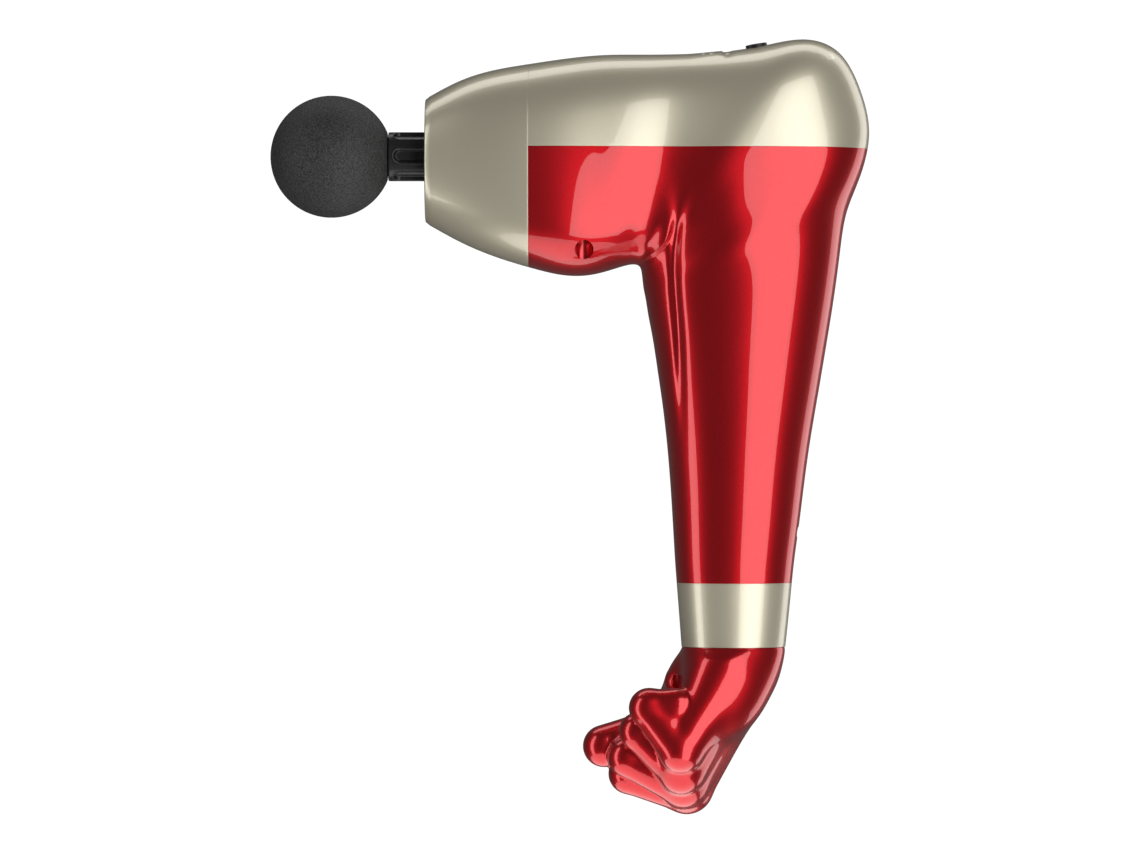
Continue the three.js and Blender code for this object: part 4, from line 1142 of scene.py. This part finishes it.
# ---------------------------------------------------------------- head, socket and button
def make_ball():
    """A dense foam ball, flat where it meets the socket, on a neck that plugs into it."""
    face = SOCKET_FRONT_X - 0.3
    collar, neck, neck_end = 8.6, 6.5, 6.0
    last_turn = math.acos((face - BALL_X) / BALL_RADIUS)
    steps = 90
    profile = [(BALL_X - BALL_RADIUS, 0)]
    for k in range(1, steps + 1):
        turn = math.pi - (math.pi - last_turn) * k / steps
        profile.append((BALL_X + BALL_RADIUS * math.cos(turn), BALL_RADIUS * math.sin(turn)))
    back = [(face, collar), (face, neck), (neck_end, neck), (neck_end, 0)]
    profile = profile[:-1] + rounded(profile[-2:] + back, 0.6)[1:]
    ball = revolve("foam_ball", profile, "x", (0, 0, 0), 180)
    finish_piece(ball, FOAM, "massage_head", "foam", "massage_ball")
    smooth(ball, 50)


def make_socket():
    """The socket that takes the head, with six round-ended flutes down its side."""
    sides, flutes = 432, 6
    pitch = 2 * math.pi / flutes
    from_flute = (full_turn(sides) + pitch / 2 - math.pi) % pitch - pitch / 2
    across = np.abs(from_flute) * SOCKET_RADIUS
    start, end, half_width, flute_depth, ridge = SOCKET_FRONT_X + 2.0, 15.0, 2.95, 1.35, 0.12
    bore, bore_end, rod_hole, rod_hole_end, axis = 6.8, 8.0, 4.8, 14.0, 0.01
    edge = 0.5

    profile = [(bore_end, axis), (bore_end, bore), (SOCKET_FRONT_X + 0.4, bore)]
    profile += [(SOCKET_FRONT_X, bore + 0.4), (SOCKET_FRONT_X, SOCKET_RADIUS - edge)]
    profile += [(SOCKET_FRONT_X + 0.15, SOCKET_RADIUS - 0.15)]
    fluted = np.linspace(SOCKET_FRONT_X + edge, 17, 150)
    for x in np.concatenate([fluted, [20, SOCKET_BACK_X - edge]]):
        beyond = max(start + half_width - x, 0) + max(x - end + half_width, 0)
        inside = half_width - np.hypot(across, beyond)
        depth = flute_depth * smoothstep(inside, 0.0, 1.1) - ridge * bell(inside, -0.25, 0.3)
        profile.append((x, SOCKET_RADIUS - depth))
    profile += [(SOCKET_BACK_X, SOCKET_RADIUS - edge), (SOCKET_BACK_X, rod_hole)]
    profile += [(rod_hole_end, rod_hole), (rod_hole_end, axis)]

    points = np.concatenate([ring("x", x, radius, sides) for x, radius in profile])
    socket = closed(mesh_from("fluted_socket", points, grid_faces(len(profile), sides)))
    finish_piece(socket, SATIN_BLACK, "plunger", "black_plastic", "plunger_socket")
    smooth(socket, 50)


def make_button():
    """The round key: a stem, a flange under the cover and a slightly dished cap above it."""
    radius = BUTTON["radius"]
    stem_end, stem, flange_low, flange_top, flange = -6.7, 1.3, -4.6, -3.2, radius + 1.1
    cap_top, dish, dish_level = 1.1, radius - 1.4, 0.95
    outline = [(stem_end, 0), (stem_end, stem), (flange_low, stem), (flange_low, flange)]
    outline += [(flange_top, flange), (flange_top, radius), (cap_top, radius), (cap_top, radius - 1.1)]
    outline += [(dish_level, dish), (dish_level, 0)]
    button = on_button(revolve("power_key", rounded(outline, 0.3), "z", (0, 0, 0), 72))
    finish_piece(button, BUTTON_BLACK, "button", "black_plastic", "power_button")
    smooth(button)


# ---------------------------------------------------------------- lamps
def make_pip_tree():
    """Geometry nodes: a plate, and a round pip with a domed top hanging from every point."""
    tree = bpy.data.node_groups.new("pips_on_points", "GeometryNodeTree")
    inputs = {
        "Points": "NodeSocketGeometry",
        "Pip Radius": "NodeSocketFloat",
        "Pip Length": "NodeSocketFloat",
        "Dome Height": "NodeSocketFloat",
        "Plate Size": "NodeSocketVector",
        "Plate Centre": "NodeSocketVector",
        "Finish": "NodeSocketMaterial",
    }
    for label, kind in inputs.items():
        tree.interface.new_socket(label, in_out="INPUT", socket_type=kind)
    tree.interface.new_socket("Pips", in_out="OUTPUT", socket_type="NodeSocketGeometry")
    nodes, links = tree.nodes, tree.links
    source, out = nodes.new("NodeGroupInput").outputs, nodes.new("NodeGroupOutput")

    pip = nodes.new("GeometryNodeMeshCylinder")
    pip.fill_type = "TRIANGLE_FAN"
    pip.inputs["Vertices"].default_value = 24
    pip.inputs["Fill Segments"].default_value = 4
    links.new(source["Pip Radius"], pip.inputs["Radius"])
    links.new(source["Pip Length"], pip.inputs["Depth"])

    level = nodes.new("ShaderNodeVectorMath")
    level.operation = "MULTIPLY"
    level.inputs[1].default_value = (1, 1, 0)
    links.new(nodes.new("GeometryNodeInputPosition").outputs[0], level.inputs[0])
    from_axis = nodes.new("ShaderNodeVectorMath")
    from_axis.operation = "LENGTH"
    links.new(level.outputs["Vector"], from_axis.inputs[0])
    share = math_node(nodes, links, "DIVIDE", from_axis.outputs["Value"], source["Pip Radius"])
    fall = math_node(nodes, links, "SUBTRACT", 1.0, math_node(nodes, links, "POWER", share, 2.0))
    rise = nodes.new("ShaderNodeCombineXYZ")
    links.new(math_node(nodes, links, "MULTIPLY", fall, source["Dome Height"]), rise.inputs["Z"])
    dome = nodes.new("GeometryNodeSetPosition")
    links.new(pip.outputs["Mesh"], dome.inputs["Geometry"])
    links.new(pip.outputs["Top"], dome.inputs["Selection"])
    links.new(rise.outputs["Vector"], dome.inputs["Offset"])

    half_down = nodes.new("ShaderNodeCombineXYZ")
    links.new(math_node(nodes, links, "MULTIPLY", source["Pip Length"], -0.5), half_down.inputs["Z"])
    hung = nodes.new("GeometryNodeTransform")
    links.new(dome.outputs["Geometry"], hung.inputs["Geometry"])
    links.new(half_down.outputs["Vector"], hung.inputs["Translation"])
    pips = nodes.new("GeometryNodeInstanceOnPoints")
    links.new(source["Points"], pips.inputs["Points"])
    links.new(hung.outputs["Geometry"], pips.inputs["Instance"])

    block = nodes.new("GeometryNodeMeshCube")
    links.new(source["Plate Size"], block.inputs["Size"])
    plate = nodes.new("GeometryNodeTransform")
    links.new(block.outputs["Mesh"], plate.inputs["Geometry"])
    links.new(source["Plate Centre"], plate.inputs["Translation"])
    joined = nodes.new("GeometryNodeJoinGeometry")
    links.new(plate.outputs["Geometry"], joined.inputs["Geometry"])
    links.new(pips.outputs["Instances"], joined.inputs["Geometry"])
    real = nodes.new("GeometryNodeRealizeInstances")
    links.new(joined.outputs["Geometry"], real.inputs["Geometry"])
    paint = nodes.new("GeometryNodeSetMaterial")
    links.new(real.outputs["Geometry"], paint.inputs["Geometry"])
    links.new(source["Finish"], paint.inputs["Material"])
    links.new(paint.outputs["Geometry"], out.inputs["Pips"])
    return tree


def grown_by(tree, made, values):
    """Runs a geometry node tree on an object's mesh and keeps the result as a plain mesh."""
    modifier = made.modifiers.new("grown", "NODES")
    modifier.node_group = tree
    for item in tree.interface.items_tree:
        if item.name in values:
            modifier[item.identifier] = values[item.name]
    keep_result(made)


def make_lamps(cover):
    """The light guide: a plate under the cover, with a pip up to the surface for each lamp."""
    bpy.context.view_layer.update()
    above, down = 80, Vector((0, 0, -1))
    tops = []
    for x, y in lamp_places():
        _, place, _, _ = cover.ray_cast(to_frame(x, y, above), down)
        tops.append((place + down * LAMP_SINK * MM)[:])
    made = object_from("light_pipe", tops, [])
    low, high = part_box("light_guide")
    thick = 1.6 * MM
    values = {
        "Pip Radius": LAMP_PIP_RADIUS * MM,
        "Pip Length": 4.5 * MM,
        "Dome Height": 0.3 * MM,
        "Plate Size": (high.x - low.x, high.y - low.y, thick),
        "Plate Centre": ((low.x + high.x) / 2, (low.y + high.y) / 2, low.z + thick / 2),
        "Finish": LAMP,
    }
    grown_by(make_pip_tree(), made, values)
    finish_piece(made, LAMP, "housing", "lamp_window", "light_guide")
    smooth(made)


# ---------------------------------------------------------------- stage
def make_camera():
    """A long lens level with the gun's middle, square to its left side."""
    view_width, distance, sensor = 0.456, 2.5, 36
    aim = to_frame(57.8, 0, -108.3)
    camera = placed_in_scene("camera", bpy.data.cameras.new("camera"))
    camera.data.sensor_width = sensor
    camera.data.lens = sensor * distance / view_width
    camera.data.clip_end = 50
    camera.location = aim - Vector((0, distance, 0))
    camera.rotation_euler = (math.pi / 2, 0, 0)
    bpy.context.scene.camera = camera


def softbox(name, azimuth, elevation, distance, width, height, power):
    """A rectangular light round the gun: azimuth 0 is on the camera's side and 90 to its right."""
    light = bpy.data.lights.new(name, "AREA")
    light.shape = "RECTANGLE"
    light.size, light.size_y = width, height
    light.energy = power
    made = placed_in_scene(name, light)
    a, e = math.radians(azimuth), math.radians(elevation)
    away = Vector((math.sin(a) * math.cos(e), -math.cos(a) * math.cos(e), math.sin(e)))
    made.location = away * distance
    made.rotation_euler = away.to_track_quat("Z", "Y").to_euler()
    made.visible_camera = False


def make_lights():
    """A large key, strips at the left and behind, and a narrow light over the back."""
    softbox("key", azimuth=32, elevation=-7, distance=1.3, width=1.0, height=3.6, power=26)
    softbox("left_strip", azimuth=-70, elevation=0, distance=1.2, width=0.42, height=2.4, power=7)
    softbox("back_strip", azimuth=126, elevation=4, distance=1.2, width=0.6, height=2.2, power=5)
    softbox("overhead", azimuth=180, elevation=68, distance=1.1, width=1.8, height=0.4, power=3.4)


def make_world():
    """White behind the object, and a dim room in its reflections."""
    world = bpy.data.worlds.new("studio")
    bpy.context.scene.world = world
    world.use_nodes = True
    nodes, links = world.node_tree.nodes, world.node_tree.links
    room = nodes["Background"]
    room.inputs["Color"].default_value = rgb(0.08, 0.078, 0.076)
    white = nodes.new("ShaderNodeBackground")
    white.inputs["Color"].default_value = rgb(1, 1, 1)
    white.inputs["Strength"].default_value = 1.05
    seen = nodes.new("ShaderNodeLightPath")
    mix = nodes.new("ShaderNodeMixShader")
    links.new(seen.outputs["Is Camera Ray"], mix.inputs["Fac"])
    links.new(room.outputs["Background"], mix.inputs[1])
    links.new(white.outputs["Background"], mix.inputs[2])
    links.new(mix.outputs["Shader"], nodes["World Output"].inputs["Surface"])


def make_floor():
    """A small pale floor below the fist, whose surface glows so that it shows no shadow."""
    drop, radius = 0.12, 0.17
    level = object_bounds()[0].z - drop
    bm = bmesh.new()
    bmesh.ops.create_circle(bm, cap_ends=True, segments=96, radius=radius)
    for v in bm.verts:
        v.co.z = level
    floor = mesh_from_bmesh("floor", bm)
    material = grained(
        "pale_floor", rgb(0.86, 0.86, 0.85), rgb(0.82, 0.82, 0.81),
        roughness=0.6, scale=60.0, bump=0.05,
    )
    shader = material.node_tree.nodes["Principled BSDF"]
    shader.inputs["Emission Color"].default_value = rgb(1, 0.99, 0.97)
    shader.inputs["Emission Strength"].default_value = 1.1
    floor.data.materials.append(material)


# ---------------------------------------------------------------- everything
make_camera()
paint_cad_nodes()
make_casings()
make_hand()
make_ball()
make_socket()
make_button()
make_floor()
make_lights()
make_world()
bpy.context.scene.view_settings.view_transform = "Standard"
